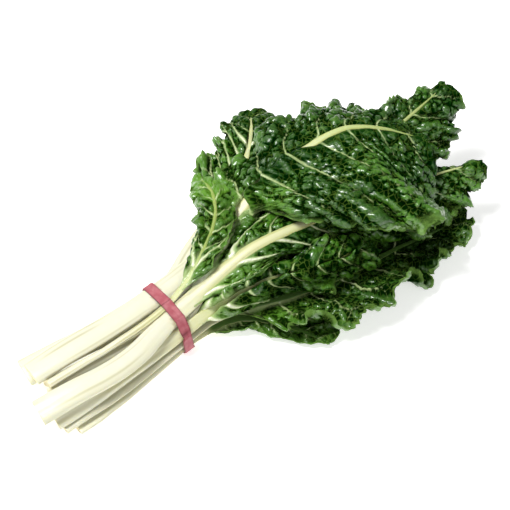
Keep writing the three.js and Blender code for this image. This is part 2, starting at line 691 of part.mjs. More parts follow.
/** The blade: a thin waved shell with raised side veins, cut alike into triangles on both faces. */
function bladeGeometry(leaf) {
  const frames = leaf.frames();
  const middle = [];
  const seamNormals = new Map();
  const ids = leaf.surface().map((sides, row) => sides.map((line, side) => line.map((point, column) => {
    if (column === 0 && side === 1 && row >= RIB_ROWS) return null;
    middle.push(point);
    // Beside the midrib the blade's two faces lie straight above each other, which keeps the gap open.
    if (column === 0 && row < RIB_ROWS) {
      seamNormals.set(middle.length - 1, frames[PETIOLE_STATIONS + row].normal);
    }
    return middle.length - 1;
  })));
  for (let row = RIB_ROWS; row <= BLADE_ROWS; row++) ids[row][1][0] = ids[row][0][0];
  const sheet = [];
  for (let row = 0; row < BLADE_ROWS; row++) {
    for (const side of [0, 1]) {
      for (let column = 0; column < HALF_COLUMNS; column++) {
        const a = ids[row][side][column];
        const b = ids[row + 1][side][column];
        const c = ids[row + 1][side][column + 1];
        const d = ids[row][side][column + 1];
        if (side === 0) sheet.push([a, b, c], [a, c, d]);
        else sheet.push([a, c, b], [a, d, c]);
      }
    }
  }
  // The seam of the slot's last row steps in from the midrib's side to its centre line.
  const normals = middle.map(() => new THREE.Vector3());
  for (const [a, b, c] of sheet) {
    const face = middle[b].clone().sub(middle[a]).cross(middle[c].clone().sub(middle[a]));
    for (const corner of [a, b, c]) normals[corner].add(face);
  }
  normals.forEach((n, id) => (seamNormals.has(id) ? n.copy(seamNormals.get(id)) : n.normalize()));
  const raise = middle.map(() => BLADE_THICKNESS / 2);
  ids.forEach((sides, row) => {
    if (row % VEIN_EVERY !== 1) return;
    sides.forEach((line) => line.slice(1).forEach((id, column) => {
      raise[id] += VEIN_HEIGHT * (1 - COLUMN_PLACES[column + 1]) ** 0.8;
    }));
  });
  // Triangles turn so that their normals point to the outer side of the leaf.
  const outer = middle.map((p, n) => p.clone().addScaledVector(normals[n], raise[n]));
  const inner = middle.map((p, n) => p.clone().addScaledVector(normals[n], -BLADE_THICKNESS / 2));
  // Where a blade lies on the surface its lower face is pressed flat.
  outer.forEach((p, n) => {
    const [low, high] = p.z < inner[n].z ? [p, inner[n]] : [inner[n], p];
    if (low.z >= 0) return;
    low.z = 0;
    high.z = Math.max(high.z, LEAST_BLADE_THICKNESS);
  });
  const count = middle.length;
  const triangles = sheet.concat(sheet.map(([a, b, c]) => [a + count, c + count, b + count]));
  const edges = new Map();
  for (const [a, b, c] of sheet) {
    for (const [from, to] of [[a, b], [b, c], [c, a]]) edges.set(`${from} ${to}`, [from, to]);
  }
  for (const [from, to] of edges.values()) {
    if (edges.has(`${to} ${from}`)) continue;
    triangles.push([from, from + count, to], [to, from + count, to + count]);
  }
  return geometryOf(outer.concat(inner), triangles);
}

/** The corner points of a set of points in a plane, anticlockwise. */
function hull(points) {
  const sorted = [...points].sort((p, q) => p.x - q.x || p.y - q.y);
  const chain = (list) => {
    const made = [];
    for (const p of list) {
      while (made.length > 1) {
        const [a, b] = made.slice(-2);
        if ((b.x - a.x) * (p.y - a.y) - (b.y - a.y) * (p.x - a.x) > 1e-9) break;
        made.pop();
      }
      made.push(p);
    }
    return made.slice(0, -1);
  };
  return chain(sorted).concat(chain(sorted.reverse()));
}

/** A closed outline at a distance outside a convex one, as a count of evenly spread points. */
function offsetLoop(corners, distance, count) {
  const centre = corners.reduce((sum, c) => sum.add(c), new THREE.Vector2()).divideScalar(corners.length);
  return Array.from({ length: count }, (_, n) => {
    const angle = (2 * Math.PI * n) / count;
    const way = new THREE.Vector2(Math.cos(angle), Math.sin(angle));
    // The support point of the outline in this direction, with its corners rounded by the distance.
    const best = corners.reduce((a, b) => (b.dot(way) > a.dot(way) ? b : a));
    return { way, reach: best.dot(way) - centre.dot(way) + distance };
  }).map((line, n, all) => {
    // Neighbouring support lines meet in the outline's corners.
    const next = all[(n + 1) % count];
    const cross = line.way.x * next.way.y - line.way.y * next.way.x;
    return new THREE.Vector2(
      (line.reach * next.way.y - next.reach * line.way.y) / cross,
      (next.reach * line.way.x - line.reach * next.way.x) / cross,
    ).add(centre);
  });
}

/** The rubber band: a flat strip stretched round all the stalks. */
function bandGeometry(leaves) {
  const near = [];
  const places = new THREE.Vector3();
  for (const { geometry } of leaves) {
    const position = geometry.getAttribute("position");
    const index = geometry.getIndex().array;
    for (let t = 0; t < index.length; t += 3) {
      for (const [from, to] of [[0, 1], [1, 2], [2, 0]]) {
        const a = new THREE.Vector3().fromBufferAttribute(position, index[t + from]);
        const b = new THREE.Vector3().fromBufferAttribute(position, index[t + to]);
        for (let n = 0; n <= 10; n++) {
          places.lerpVectors(a, b, n / 10);
          if (Math.abs(places.x - bandX(places.y)) > BAND_WIDTH * 0.75) continue;
          near.push(new THREE.Vector2(places.y, places.z));
        }
      }
    }
  }
  const count = BAND_CORNERS;
  const corners = hull(near);
  const loops = [BAND_GAP, BAND_GAP + BAND_THICKNESS].map((out) => offsetLoop(corners, out, count));
  const points = [];
  for (const end of [-0.5, 0.5]) {
    for (const loop of loops) {
      for (const { x: y, y: z } of loop) {
        points.push(new THREE.Vector3(bandX(y) + end * BAND_WIDTH, y, Math.max(0, z)));
      }
    }
  }
  const at = (end, loop, n) => (end * 2 + loop) * count + (n % count);
  const triangles = [];
  for (let n = 0; n < count; n++) {
    const quad = (a, b, c, d) => triangles.push([a, c, b], [a, d, c]);
    quad(at(0, 1, n), at(0, 1, n + 1), at(0, 0, n + 1), at(0, 0, n));
    quad(at(1, 0, n), at(1, 0, n + 1), at(1, 1, n + 1), at(1, 1, n));
    quad(at(1, 1, n), at(1, 1, n + 1), at(0, 1, n + 1), at(0, 1, n));
    quad(at(0, 0, n), at(0, 0, n + 1), at(1, 0, n + 1), at(1, 0, n));
  }
  return geometryOf(points, triangles);
}

function named(name, geometry, colour, roughness) {
  const material = new THREE.MeshStandardMaterial({ color: colour, roughness, metalness: 0 });
  const mesh = new THREE.Mesh(geometry, material);
  mesh.name = name;
  return mesh;
}

const leaves = Object.entries(LEAVES).map(([name, spec]) => new Leaf(name, spec));
new Heap(leaves).grow();

const bunch = new THREE.Group();
const stalks = leaves.map((leaf) => named(`stalk_${leaf.name}`, stalkGeometry(leaf), COLOURS.stalk, 0.45));
const blades = leaves.map((leaf) => named(`blade_${leaf.name}`, bladeGeometry(leaf), COLOURS.blade, 0.4));
bunch.add(...stalks, ...blades, named("band", bandGeometry(stalks), COLOURS.band, 0.6));

// The origin is on the surface, under the middle of the bunch.
const bounds = new THREE.Box3().setFromObject(bunch);
const middle = bounds.getCenter(new THREE.Vector3());
bunch.position.set(-middle.x, -middle.y, -bounds.min.z);

export default bunch;
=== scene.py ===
"""A bunch of white-stalked chard on a white floor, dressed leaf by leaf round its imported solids.

Every leaf's packed stalk and blade give a coarse net of points. Finer surfaces are drawn through
those nets, and then take what the coarse ones leave out: the ruffled margin, the net of veins, the
pillows of tissue between them, the ribbing of the stalks and their cut ends.

Shapes are worked out in millimetres and written to the meshes in metres.
"""

import logging
import math
from collections import Counter
from collections.abc import Callable, Iterator
from dataclasses import dataclass, field
from enum import Enum

import bmesh
import bpy
import numpy as np
from bmesh.types import BMesh
from bpy.types import ID, Material, NodeSocket, NodeTree, Object
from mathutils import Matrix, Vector
from mathutils.bvhtree import BVHTree
from numpy.random import Generator, default_rng


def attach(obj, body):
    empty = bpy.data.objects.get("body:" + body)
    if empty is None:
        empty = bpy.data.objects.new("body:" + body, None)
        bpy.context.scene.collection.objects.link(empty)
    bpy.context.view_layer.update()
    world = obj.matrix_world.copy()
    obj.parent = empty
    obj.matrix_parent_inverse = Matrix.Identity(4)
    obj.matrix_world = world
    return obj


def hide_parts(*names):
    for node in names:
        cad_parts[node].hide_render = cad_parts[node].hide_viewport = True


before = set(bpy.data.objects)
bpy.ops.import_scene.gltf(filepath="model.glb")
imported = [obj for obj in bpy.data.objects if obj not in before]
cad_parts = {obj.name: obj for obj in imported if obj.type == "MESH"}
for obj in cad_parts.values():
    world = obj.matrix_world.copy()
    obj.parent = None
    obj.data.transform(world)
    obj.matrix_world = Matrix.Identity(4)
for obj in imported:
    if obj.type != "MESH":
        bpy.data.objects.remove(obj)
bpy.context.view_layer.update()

log = logging.getLogger("chard")

MM = 0.001  # metres
BODY = "root"

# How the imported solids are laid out.
BLADE_ROWS = 24  # from a blade's base to its tip
RIB_ROWS = 21  # a blade is slotted for its midrib up to this row
HALF_COLUMNS = 5  # from the midrib to the margin
BLADE_THICKNESS = 0.9
SEAM_GAP = 0.4
SIDE_VEIN_ROWS = range(1, BLADE_ROWS - 1, 3)
STALK_RINGS = 19
PETIOLE_RINGS = 8  # of those, before the blade starts
SECTION_SIDES = 10
BAND_CORNERS = 28

SOLID_WELD = 0.002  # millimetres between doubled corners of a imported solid
SHEET_WELD = 0.004  # and of a closed sheet
STRIP = 3  # the columns of a finer half that cross the midrib, before its own
LEAST_COLUMNS = 24  # of its own
ROLL_COLUMNS = 8  # those at its margin whose room tells how far they can curl
VEIN_POINTS = 18  # of a side vein's course
FORK_POINTS = 12  # of the course of a fork at its end
BRANCH_STEP = 0.085  # between the branches along a side vein, as a share of the way to the margin

# The room that a leaf's points have, in millimetres.
TRIED_FROM = 1.0  # how far off a point the search for another leaf starts
NEAR_LEAF = 12.0  # and how near a leaf counts at all, whichever way it lies
LEFT_FREE = 0.6  # between a point and half of the gap to the next leaf
LEAST_ROOM = 0.15
FLOOR_GAP = 0.7  # left above the floor
LEAST_HEIGHT = 0.4  # of a blade's underside above the floor

Array = np.ndarray
Triangle = tuple[int, int, int]
Edge = tuple[int, int]
Pair = tuple[float, float]
Place = tuple[float, float, float]


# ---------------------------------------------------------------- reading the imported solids
def solid(node: str) -> tuple[Array, list[Triangle]]:
    """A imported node's shape with its doubled corners merged.

    Args:
        node: the node's name.

    Returns:
        Its corner points in millimetres, and its triangles.
    """
    work = bmesh.new()
    work.from_mesh(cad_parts[node].data)
    bmesh.ops.remove_doubles(work, verts=work.verts, dist=SOLID_WELD * MM)
    work.verts.index_update()
    points = np.array([v.co[:] for v in work.verts]) / MM
    triangles = [tuple(v.index for v in f.verts) for f in work.faces]
    work.free()
    return points, triangles


def thirds(triangles: list[Triangle]) -> dict[Edge, int]:
    """The third corner of the triangle that each directed edge belongs to."""
    return {(t[k], t[(k + 1) % 3]): t[(k + 2) % 3] for t in triangles for k in range(3)}


def kinds(edges: dict[Edge, int]) -> dict[Edge, tuple]:
    """How many edges leave each edge's two ends and the two corners beside it."""
    degree = Counter(a for a, _ in edges)
    return {(a, b): (degree[a], degree[b], degree[edges[a, b]], degree[edges[b, a]]) for a, b in edges}


def fittings(net: list[Triangle], mesh: list[Triangle]) -> Iterator[dict[int, int]]:
    """Every way in which a net of triangles fits a mesh of the same layout.

    Args:
        net: the triangles of the known layout.
        mesh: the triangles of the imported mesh, whose corners come in another order.

    Yields:
        The mesh's corner for each corner of the net.
    """
    net_thirds, mesh_thirds = thirds(net), thirds(mesh)
    net_kinds = kinds(net_thirds)
    tally = Counter(net_kinds.values())
    start = min(net_kinds, key=lambda edge: tally[net_kinds[edge]])
    for edge, kind in kinds(mesh_thirds).items():
        if kind != net_kinds[start]:
            continue
        place = dict(zip(start, edge))
        waiting, seen, fits = [start], set(), True
        while waiting and fits:
            a, b = waiting.pop()
            if (a, b) in seen:
                continue
            seen.add((a, b))
            third = net_thirds[a, b]
            found = mesh_thirds.get((place[a], place[b]))
            if found is None or place.setdefault(third, found) != found:
                fits = False
            waiting += [(b, third), (third, a), (b, a)]
        if fits and len(set(place.values())) == len(place):
            yield place


def fitted(node: str, net: list[Triangle], count: int, score: Callable[[Array], float]) -> Array:
    """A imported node's points in the order of its known layout.

    Args:
        node: the node's name.
        net: the layout's triangles.
        count: how many corners the layout has.
        score: tells the right fitting from the others, as the one that scores highest.

    Returns:
        The corner points, in millimetres.
    """
    points, mesh = solid(node)
    places = (points[[place[n] for n in range(count)]] for place in fittings(net, mesh))
    best = max(places, key=score, default=None)
    if best is None:
        raise ValueError(f"{node} isn't laid out as this script expects")
    return best


# ---------------------------------------------------------------- drawing finer surfaces
def spline(points: Array, at: Array, axis: int = 0) -> Array:
    """A Catmull-Rom curve through points.

    Args:
        points: at least two values along the axis.
        at: places along them, counted in points.
        axis: the axis that the curve runs along.

    Returns:
        The values at those places, along the same axis.
    """
    points = np.moveaxis(points, axis, 0)
    padded = np.concatenate([2 * points[:1] - points[1:2], points, 2 * points[-1:] - points[-2:-1]])
    k = np.clip(np.floor(at).astype(int), 0, len(points) - 2)
    t = (at - k).reshape((-1,) + (1,) * (points.ndim - 1))
    a, b, c, d = (padded[k + n] for n in range(4))
    curve = b + t * ((c - a) / 2 + t * (a - 2.5 * b + 2 * c - d / 2 + t * (1.5 * (b - c) + (d - a) / 2)))
    return np.moveaxis(curve, 0, axis)


def rounded(loop: Array, count: int) -> Array:
    """A smooth closed curve through evenly counted points, along the second axis.

    Args:
        loop: control points, as rings × points × 3.
        count: how many points the finer curve has.

    Returns:
        The finer points, with the first repeated as the last.
    """
    sides = loop.shape[1]
    spectrum = np.fft.fft(loop, axis=1) / sides
    turns = np.fft.fftfreq(sides, 1 / sides)
    angles = np.linspace(0, math.tau, count + 1)
    return np.einsum("rkx,kn->rnx", spectrum, np.exp(1j * np.outer(turns, angles))).real


def arc(points: Array, axis: int = 0) -> Array:
    """The distance along lines of points, from the first of each."""
    steps = np.linalg.norm(np.diff(points, axis=axis), axis=-1)
    return np.cumsum(np.insert(steps, 0, 0.0, axis=axis), axis=axis)


def unit(vectors: Array) -> Array:
    """The same directions, one long."""
    return vectors / np.maximum(np.linalg.norm(vectors, axis=-1, keepdims=True), 1e-9)


def smoothstep(low: float, high: float, value: Array) -> Array:
    """0 at low, 1 at high, the same beyond them, and a smooth change between."""
    t = np.clip((value - low) / (high - low), 0, 1)
    return t * t * (3 - 2 * t)


def swell(where: Array, size: float, draw: Generator) -> Array:
    """Gentle random humps, as the sum of a few waves.

    Args:
        where: places, as an array whose last axis holds coordinates in millimetres.
        size: how far apart the humps are, in millimetres.
        draw: the random numbers to use.

    Returns:
        A height of about -1 to 1 at each place.
    """
    count = 14
    ways = unit(draw.normal(size=(count, where.shape[-1])))
    phases = draw.uniform(0, math.tau, count)
    lengths = size * draw.uniform(0.75, 1.6, count)
    total = sum(np.sin(where @ way * (math.tau / length) + phase)
                for way, length, phase in zip(ways, lengths, phases))
    return total / math.sqrt(count / 2) / 1.6


def cells(where: Array, size: float, draw: Generator) -> tuple[Array, Array]:
    """Irregular cells, as between the smallest veins.

    Args:
        where: flat places in millimetres, as an array whose last axis is two long.
        size: how wide a cell is, in millimetres.
        draw: the random numbers to use.

    Returns:
        How far each place is inside its cell's border, in millimetres, and a number from 0 to 1
        that is its cell's own.
    """
    rows, columns, jitter = 97, 89, 0.85  # after which the cells repeat, and how unlike a grid they are
    table = draw.random((rows, columns, 3))
    home = np.floor(where / size).astype(int)
    nearest = np.full(where.shape[:-1], 1e9)
    second = nearest.copy()
    own = np.zeros(where.shape[:-1])
    for step in np.ndindex(3, 3):
        cell = home + step - 1
        drawn = table[cell[..., 0] % rows, cell[..., 1] % columns]
        centre = (cell + 0.5 + jitter * (drawn[..., :2] - 0.5)) * size
        apart = np.linalg.norm(where - centre, axis=-1)
        closer = apart < nearest
        second = np.where(closer, nearest, np.minimum(second, apart))
        own = np.where(closer, drawn[..., 2], own)
        nearest = np.where(closer, apart, nearest)
    return (second - nearest) / 2, own


def evened(values: Array) -> Array:
    """Makes a table of values change slowly, without raising any.

    Args:
        values: the table.

    Returns:
        The mean, over the places near each, of the least value near them.
    """
    reach = 2
    rows, columns = values.shape
    for combine in (np.min, np.mean):
        padded = np.pad(values, reach, mode="edge")
        near = [padded[i:i + rows, j:j + columns] for i, j in np.ndindex(2 * reach + 1, 2 * reach + 1)]
        values = combine(near, axis=0)
    return values


def raised(height: Array, reach: int) -> Array:
    """How far each place of a surface stands above those round it.

    Args:
        height: the surface's height at each point of a grid.
        reach: how many points away the places round it lie at most.

    Returns:
        Its height over their mean.
    """
    level = height
    for _ in range(2):
        padded = np.pad(level, ((reach, reach), (0, 0)), mode="edge")
        total = np.cumsum(np.concatenate([np.zeros_like(padded[:1]), padded]), axis=0)
        level = ((total[2 * reach + 1:] - total[:-2 * reach - 1]) / (2 * reach + 1)).T
    return height - level


def linked(name: str, data: ID) -> Object:
    """Puts a new object into the scene.

    Args:
        name: its name.
        data: its mesh, lamp or camera.

    Returns:
        The object, at the origin.
    """
    made = bpy.data.objects.new(name, data)
    bpy.context.scene.collection.objects.link(made)
    return made


def written(name: str, work: BMesh) -> Object:
    """Puts a finished bmesh into the scene.

    Args:
        name: the name of its mesh and its object.
        work: the bmesh, which this frees.

    Returns:
        The object, at the origin.
    """
    mesh = bpy.data.meshes.new(name)
    work.to_mesh(mesh)
    work.free()
    return linked(name, mesh)


def sheet_mesh(
    name: str, table: Array, marks: dict[str, Array], closed: bool = False, outward: Array | None = None,
) -> Object:
    """A piece whose mesh is a flat grid that is moved, point by point, into place.

    Args:
        name: the piece's name.
        table: where each point of the grid goes, as rows × columns × 3, in millimetres.
        marks: values that the piece's material reads, as rows × columns.
        closed: whether the table closes on itself, so that its doubled points merge.
        outward: for an open sheet, its front's direction at each point.

    Returns:
        The piece, at the origin.
    """
    rows, columns = table.shape[:2]
    work = bmesh.new()
    bmesh.ops.create_grid(work, x_segments=rows - 1, y_segments=columns - 1, size=0.5)
    layers = {work.verts.layers.float.new(mark): np.broadcast_to(values, (rows, columns))
              for mark, values in marks.items()}
    for corner in work.verts:
        at = round((corner.co.x + 0.5) * (rows - 1)), round((corner.co.y + 0.5) * (columns - 1))
        corner.co = table[at] * MM
        for layer, values in layers.items():
            corner[layer] = values[at]
    if closed:
        bmesh.ops.remove_doubles(work, verts=work.verts, dist=SHEET_WELD * MM)
        bmesh.ops.recalc_face_normals(work, faces=work.faces)
    else:
        front = unit(np.cross(np.gradient(table, axis=0), np.gradient(table, axis=1)))
        if (front * outward).sum() < 0:
            bmesh.ops.reverse_faces(work, faces=work.faces)
    for face in work.faces:
        face.smooth = True
    return written(name, work)


def stand_in(piece: Object, node: str, slot: str, *finishes: Material) -> Object:
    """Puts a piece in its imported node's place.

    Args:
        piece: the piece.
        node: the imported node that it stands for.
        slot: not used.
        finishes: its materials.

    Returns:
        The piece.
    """
    for material in finishes:
        piece.data.materials.append(material)
    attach(piece, BODY)
    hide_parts(node)
    return piece


# ---------------------------------------------------------------- finishes
def colour(code: str) -> tuple[float, float, float, float]:
    """An sRGB hex colour as the linear one that Blender works with."""
    parts = [int(code[k:k + 2], 16) / 255 for k in (1, 3, 5)]
    return (*(p / 12.92 if p <= 0.04045 else ((p + 0.055) / 1.055) ** 2.4 for p in parts), 1.0)


def add(
    tree: NodeTree, kind: str, inputs: dict | tuple, output: int | str = 0, **settings: object,
) -> NodeSocket:
    """Adds a node.

    Args:
        tree: the material's node tree.
        kind: the node's type, without the words that all the types start with.
        inputs: a value or another node's output for its inputs, in order or by name or number.
        output: which of its outputs to give back.
        settings: its own properties.

    Returns:
        That output.
    """
    node = tree.nodes.new(f"ShaderNode{kind}")
    for key, value in settings.items():
        setattr(node, key, value)
    for key, value in inputs.items() if isinstance(inputs, dict) else enumerate(inputs):
        if isinstance(value, NodeSocket):
            tree.links.new(value, node.inputs[key])
        else:
            node.inputs[key].default_value = value
    return node.outputs[output]


def layered(tree: NodeTree, body: str | NodeSocket, *layers: tuple) -> NodeSocket:
    """Lays colours over each other.

    Args:
        tree: the material's node tree.
        body: the lowest colour, as a hex code or a node's output.
        layers: for each colour, the value that spreads it, two ends of that value, the colour's
            shares at those ends, and the colour.

    Returns:
        The colour that shows.
    """
    shown = colour(body) if isinstance(body, str) else body
    for value, start, end, least, most, code in layers:
        share = add(tree, "MapRange", (value, start, end, least, most))
        shown = add(tree, "Mix", {0: share, 6: shown, 7: colour(code)}, 2, data_type="RGBA")
    return shown


@dataclass(frozen=True)
class Finish:
    """A material with one surface shader."""

    name: str

    def inputs(self, tree: NodeTree) -> dict[str, object]:
        """The surface shader's inputs."""
        raise NotImplementedError

    def make(self) -> Material:
        """Builds the material.

        Returns:
            The material.
        """
        material = bpy.data.materials.new(self.name)
        material.use_nodes = True
        tree = material.node_tree
        tree.nodes.clear()
        output = tree.nodes.new("ShaderNodeOutputMaterial")
        tree.links.new(add(tree, "BsdfPrincipled", self.inputs(tree)), output.inputs["Surface"])
        return material


@dataclass(frozen=True)
class LeafTissue(Finish):
    """The blade of a grown chard leaf: dark, waxy and puckered, with pale veins.

    Its wax gives small sharp highlights on the pillows. Painted light makes the pillows' tops lighter, and
    painted shade darkens the creases and takes their highlights away.
    """

    tissue: str = "#063601"
    # painted light on the pillows' tops, and the lighter green of random patches
    patch_and_lit_crown: str = "#4c811c"
    # painted shade in the creases between the pillows
    crease: str = "#001601"
    young: str = "#5f9226"
    net: str = "#88ad48"
    vein: str = "#afc284"
    pale: str = "#e6eacc"
    margin: str = "#79a04c"
    tone_mm: float = 55.0
    patch_mm: float = 26.0
    mesh_mm: float = 4.6  # of the net of veinlets, which is finer on a real leaf than shows here
    grain_mm: float = 0.9  # of the skin, drawn as coarse as it needs to be to show
    roughness: Pair = (0.28, 0.42)  # the least and the most

    def inputs(self, tree: NodeTree) -> dict[str, object]:
        """The surface shader's inputs.

        Args:
            tree: the material's node tree.

        Returns:
            Values and outputs by the inputs' names.
        """
        place = add(tree, "TexCoord", (), "Object")
        pillow_light, vein, young, margin = (
            add(tree, "Attribute", (), "Fac", attribute_name=mark)
            for mark in ("pillow_light", "vein", "young", "margin"))
        tones, patches, grain = (
            add(tree, "TexNoise", {"Vector": place, "Scale": 1 / (size * MM), "Detail": detail})
            for size, detail in ((self.tone_mm, 1.0), (self.patch_mm, 3.0), (self.grain_mm, 2.0)))
        mesh = self.mesh_mm * MM
        drift = add(tree, "TexNoise", {"Vector": place, "Scale": 0.5 / mesh, "Detail": 1.0}, "Color")
        drifted = add(tree, "VectorMath", (drift, (mesh,) * 3, place), operation="MULTIPLY_ADD")
        inside = add(tree, "TexVoronoi", {"Vector": drifted, "Scale": 1 / mesh}, feature="DISTANCE_TO_EDGE")
        veinlet = add(tree, "MapRange", (inside, 0.01, 0.1, 0.24, 0.0))
        patchy = add(tree, "MapRange", (patches, 0.4, 0.6, 0.2, 1.0))
        netted = add(tree, "Math", (veinlet, patchy), operation="MULTIPLY")
        swollen = add(tree, "MapRange", (inside, 0.0, 0.25, 0.0, 1.0))
        skin = add(tree, "Math", (swollen, grain), operation="ADD")
        return {
            "Base Color": layered(
                tree, self.tissue,
                (patches, 0.3, 0.75, 0.0, 0.35, self.patch_and_lit_crown),
                # painted light on the pillows' tops
                (pillow_light, 0.52, 1.0, 0.0, 0.9, self.patch_and_lit_crown),
                (tones, 0.4, 0.6, 0.65, 0.0, self.tissue),
                (young, 0.0, 1.0, 0.0, 0.85, self.young),
                # painted shade in the creases
                (pillow_light, 0.27, 0.66, 0.95, 0.0, self.crease),
                (margin, 0.0, 1.0, 0.0, 0.5, self.margin),
                (netted, 0.0, 1.0, 0.0, 1.0, self.net),
                (vein, 0.12, 0.55, 0.0, 0.9, self.vein),
                (vein, 0.6, 0.95, 0.0, 1.0, self.pale)),
            "Normal": add(tree, "Bump", {"Height": skin, "Strength": 0.8, "Distance": 0.45 * MM}),
            "Roughness": add(tree, "MapRange", (grain, 0.3, 0.7, *self.roughness)),
            "IOR": 1.4,
            # painted shade takes the highlights out of the creases
            "Specular IOR Level": add(tree, "MapRange", (pillow_light, 0.4, 0.85, 0.0, 0.5)),
            "Coat Weight": add(tree, "MapRange", (pillow_light, 0.55, 0.9, 0.0, 1.0)),
            "Coat Roughness": 0.2,
        }


@dataclass(frozen=True)
class StalkFlesh(Finish):
    """A chard stalk: crisp, wet and translucent white flesh, ribbed along its length.

    Light goes some way into it, which softens its shadows, and its thin skin is smooth. It turns
    green towards the leaf's tip and on the leaf's inner side. Its flanks and the furrows between its ribs
    have painted shade, as has where other leaves close it in.
    """

    name: str = "stalk_flesh"
    lengthways: tuple[tuple[float, str], ...] = (  # shares of the way from the cut to the leaf's tip
        (0.0, "#e2e0ca"), (0.35, "#e2e0ca"), (0.55, "#d8d7ac"), (0.8, "#c0c98d"), (1.0, "#95ac5a"))
    furrow_shade: str = "#a8a26a"
    # painted shade on the stalk's flanks
    side: str = "#b2b768"
    shade: str = "#8f7f45"
    inner: str = "#41702a"
    cut: str = "#e6dcb4"
    bruise: str = "#c8b98a"
    fibre_mm: float = 2.0  # between the bundles of fibres in the cut face
    roughness: float = 0.345

    def inputs(self, tree: NodeTree) -> dict[str, object]:
        """The surface shader's inputs.

        Args:
            tree: the material's node tree.

        Returns:
            Values and outputs by the inputs' names.
        """
        along, furrow, flank_shade, deep, inner, cut = (
            add(tree, "Attribute", (), "Fac", attribute_name=mark)
            for mark in ("along", "furrow", "flank_shade", "deep", "inner", "cut"))
        place = add(tree, "TexCoord", (), "Object")
        fibres = add(tree, "TexVoronoi", {"Vector": place, "Scale": 1 / (self.fibre_mm * MM)})
        shown = add(tree, "ValToRGB", (along,))
        stops = shown.node.color_ramp.elements
        while len(stops) < len(self.lengthways):
            stops.new(0.5)
        for stop, (share, code) in zip(stops, self.lengthways):
            stop.position, stop.color = share, colour(code)
        body = layered(
            tree, shown,
            (furrow, 0.0, 1.0, 0.0, 0.6, self.furrow_shade),
            (flank_shade, 0.0, 1.0, 0.0, 0.7, self.side),
            (deep, 0.0, 1.0, 0.0, 0.65, self.shade),
            (inner, 0.0, 1.0, 0.0, 1.0, self.inner))
        face = layered(tree, self.cut, (fibres, 0.0, 0.5, 0.8, 0.0, self.bruise))
        return {
            "Base Color": add(tree, "Mix", {0: cut, 6: body, 7: face}, 2, data_type="RGBA"),
            "Roughness": self.roughness,
            "IOR": 1.4,
            "Subsurface Weight": 0.4,
            "Subsurface Radius": (1.0, 0.85, 0.5),
            "Subsurface Scale": 2.0 * MM,
        }


@dataclass(frozen=True)
class BandRubber(Finish):
    """Stretched natural rubber, cut from a tube: dusty and matt, with painted shade at its edges and a
    painted shadow beside its fold.
    """

    name: str = "band_rubber"
    base: str = "#a8505a"
    bloom: str = "#c07b80"
    # painted shade at its edges and beside its fold
    edge_shade: str = "#6e2c34"
    bloom_mm: float = 5.0  # across a patch of dust
    roughness: Pair = (0.47, 0.65)  # the least and the most

    def inputs(self, tree: NodeTree) -> dict[str, object]:
        """The surface shader's inputs.

        Args:
            tree: the material's node tree.

        Returns:
            Values and outputs by the inputs' names.
        """
        place = add(tree, "TexCoord", (), "Object")
        dust = add(tree, "TexNoise", {"Vector": place, "Scale": 1 / (self.bloom_mm * MM), "Detail": 4.0})
        edge = add(tree, "Attribute", (), "Fac", attribute_name="edge")
        return {
            "Base Color": layered(
                tree, self.base,
                (dust, 0.4, 0.7, 0.0, 0.7, self.bloom),
                (edge, 0.0, 1.0, 0.0, 1.0, self.edge_shade)),
            "Normal": add(tree, "Bump", {"Height": dust, "Strength": 0.4, "Distance": 0.2 * MM}),
            "Roughness": add(tree, "MapRange", (dust, 0.3, 0.7, *self.roughness)),
            "IOR": 1.52,
            "Subsurface Weight": 0.1,
            "Subsurface Radius": (1.0, 0.3, 0.3),
            "Subsurface Scale": 1.0 * MM,
        }


@dataclass(frozen=True)
class FloorCard(Finish):
    """A matt white sheet under the bunch, lit a little from below."""

    name: str = "floor_card"
    white: str = "#fbfbfa"
    glow: float = 0.58  # light that comes through it from below

    def inputs(self, tree: NodeTree) -> dict[str, object]:
        """The surface shader's inputs, which are all plain values."""
        card = colour(self.white)
        return {"Base Color": card, "Roughness": 0.7, "Emission Color": card, "Emission Strength": self.glow}


# ---------------------------------------------------------------- the leaves
class Side(Enum):
    """A blade's two halves, seen from outside with the tip ahead."""

    LEFT = 0
    RIGHT = 1


def blade_layout() -> tuple[list[Triangle], Array, int]:
    """How a packed blade is laid out.

    Returns:
        Its triangles, its corners as sheets × rows × sides × columns, and how many corners it has.
        The first sheet is the leaf's outer face.
    """
    corner = np.zeros((2, BLADE_ROWS + 1, 2, HALF_COLUMNS + 1), int)
    count = 0
    for row, side, column in np.ndindex(corner.shape[1:]):
        if column == 0 and side == 1 and row >= RIB_ROWS:
            corner[0, row, 1, 0] = corner[0, row, 0, 0]
            continue
        corner[0, row, side, column] = count
        count += 1
    corner[1] = corner[0] + count
    sheet: list[Triangle] = []
    for row, side, column in np.ndindex(BLADE_ROWS, 2, HALF_COLUMNS):
        a, d = corner[0, row, side, column:column + 2].tolist()
        b, c = corner[0, row + 1, side, column:column + 2].tolist()
        sheet += [(a, b, c), (a, c, d)] if side == 0 else [(a, c, b), (a, d, c)]
    edges = thirds(sheet)
    triangles = sheet + [(a + count, c + count, b + count) for a, b, c in sheet]
    for a, b in edges:
        if (b, a) not in edges:
            triangles += [(a, a + count, b), (b, a + count, b + count)]
    return triangles, corner, 2 * count


def stalk_layout() -> list[Triangle]:
    """How a packed stalk is laid out.

    Returns:
        Its triangles. Its corners run ring by ring from its cut end.
    """
    sides = SECTION_SIDES
    triangles: list[Triangle] = []
    for ring, n in np.ndindex(STALK_RINGS - 1, sides):
        a, b = ring * sides + n, ring * sides + (n + 1) % sides
        triangles += [(a, b, a + sides), (b, b + sides, a + sides)]
    last = (STALK_RINGS - 1) * sides
    for n in range(1, sides - 1):
        triangles += [(0, n + 1, n), (last, last + n, last + n + 1)]
    return triangles


BLADE_NET, BLADE_CORNERS, BLADE_COUNT = blade_layout()
STALK_NET = stalk_layout()


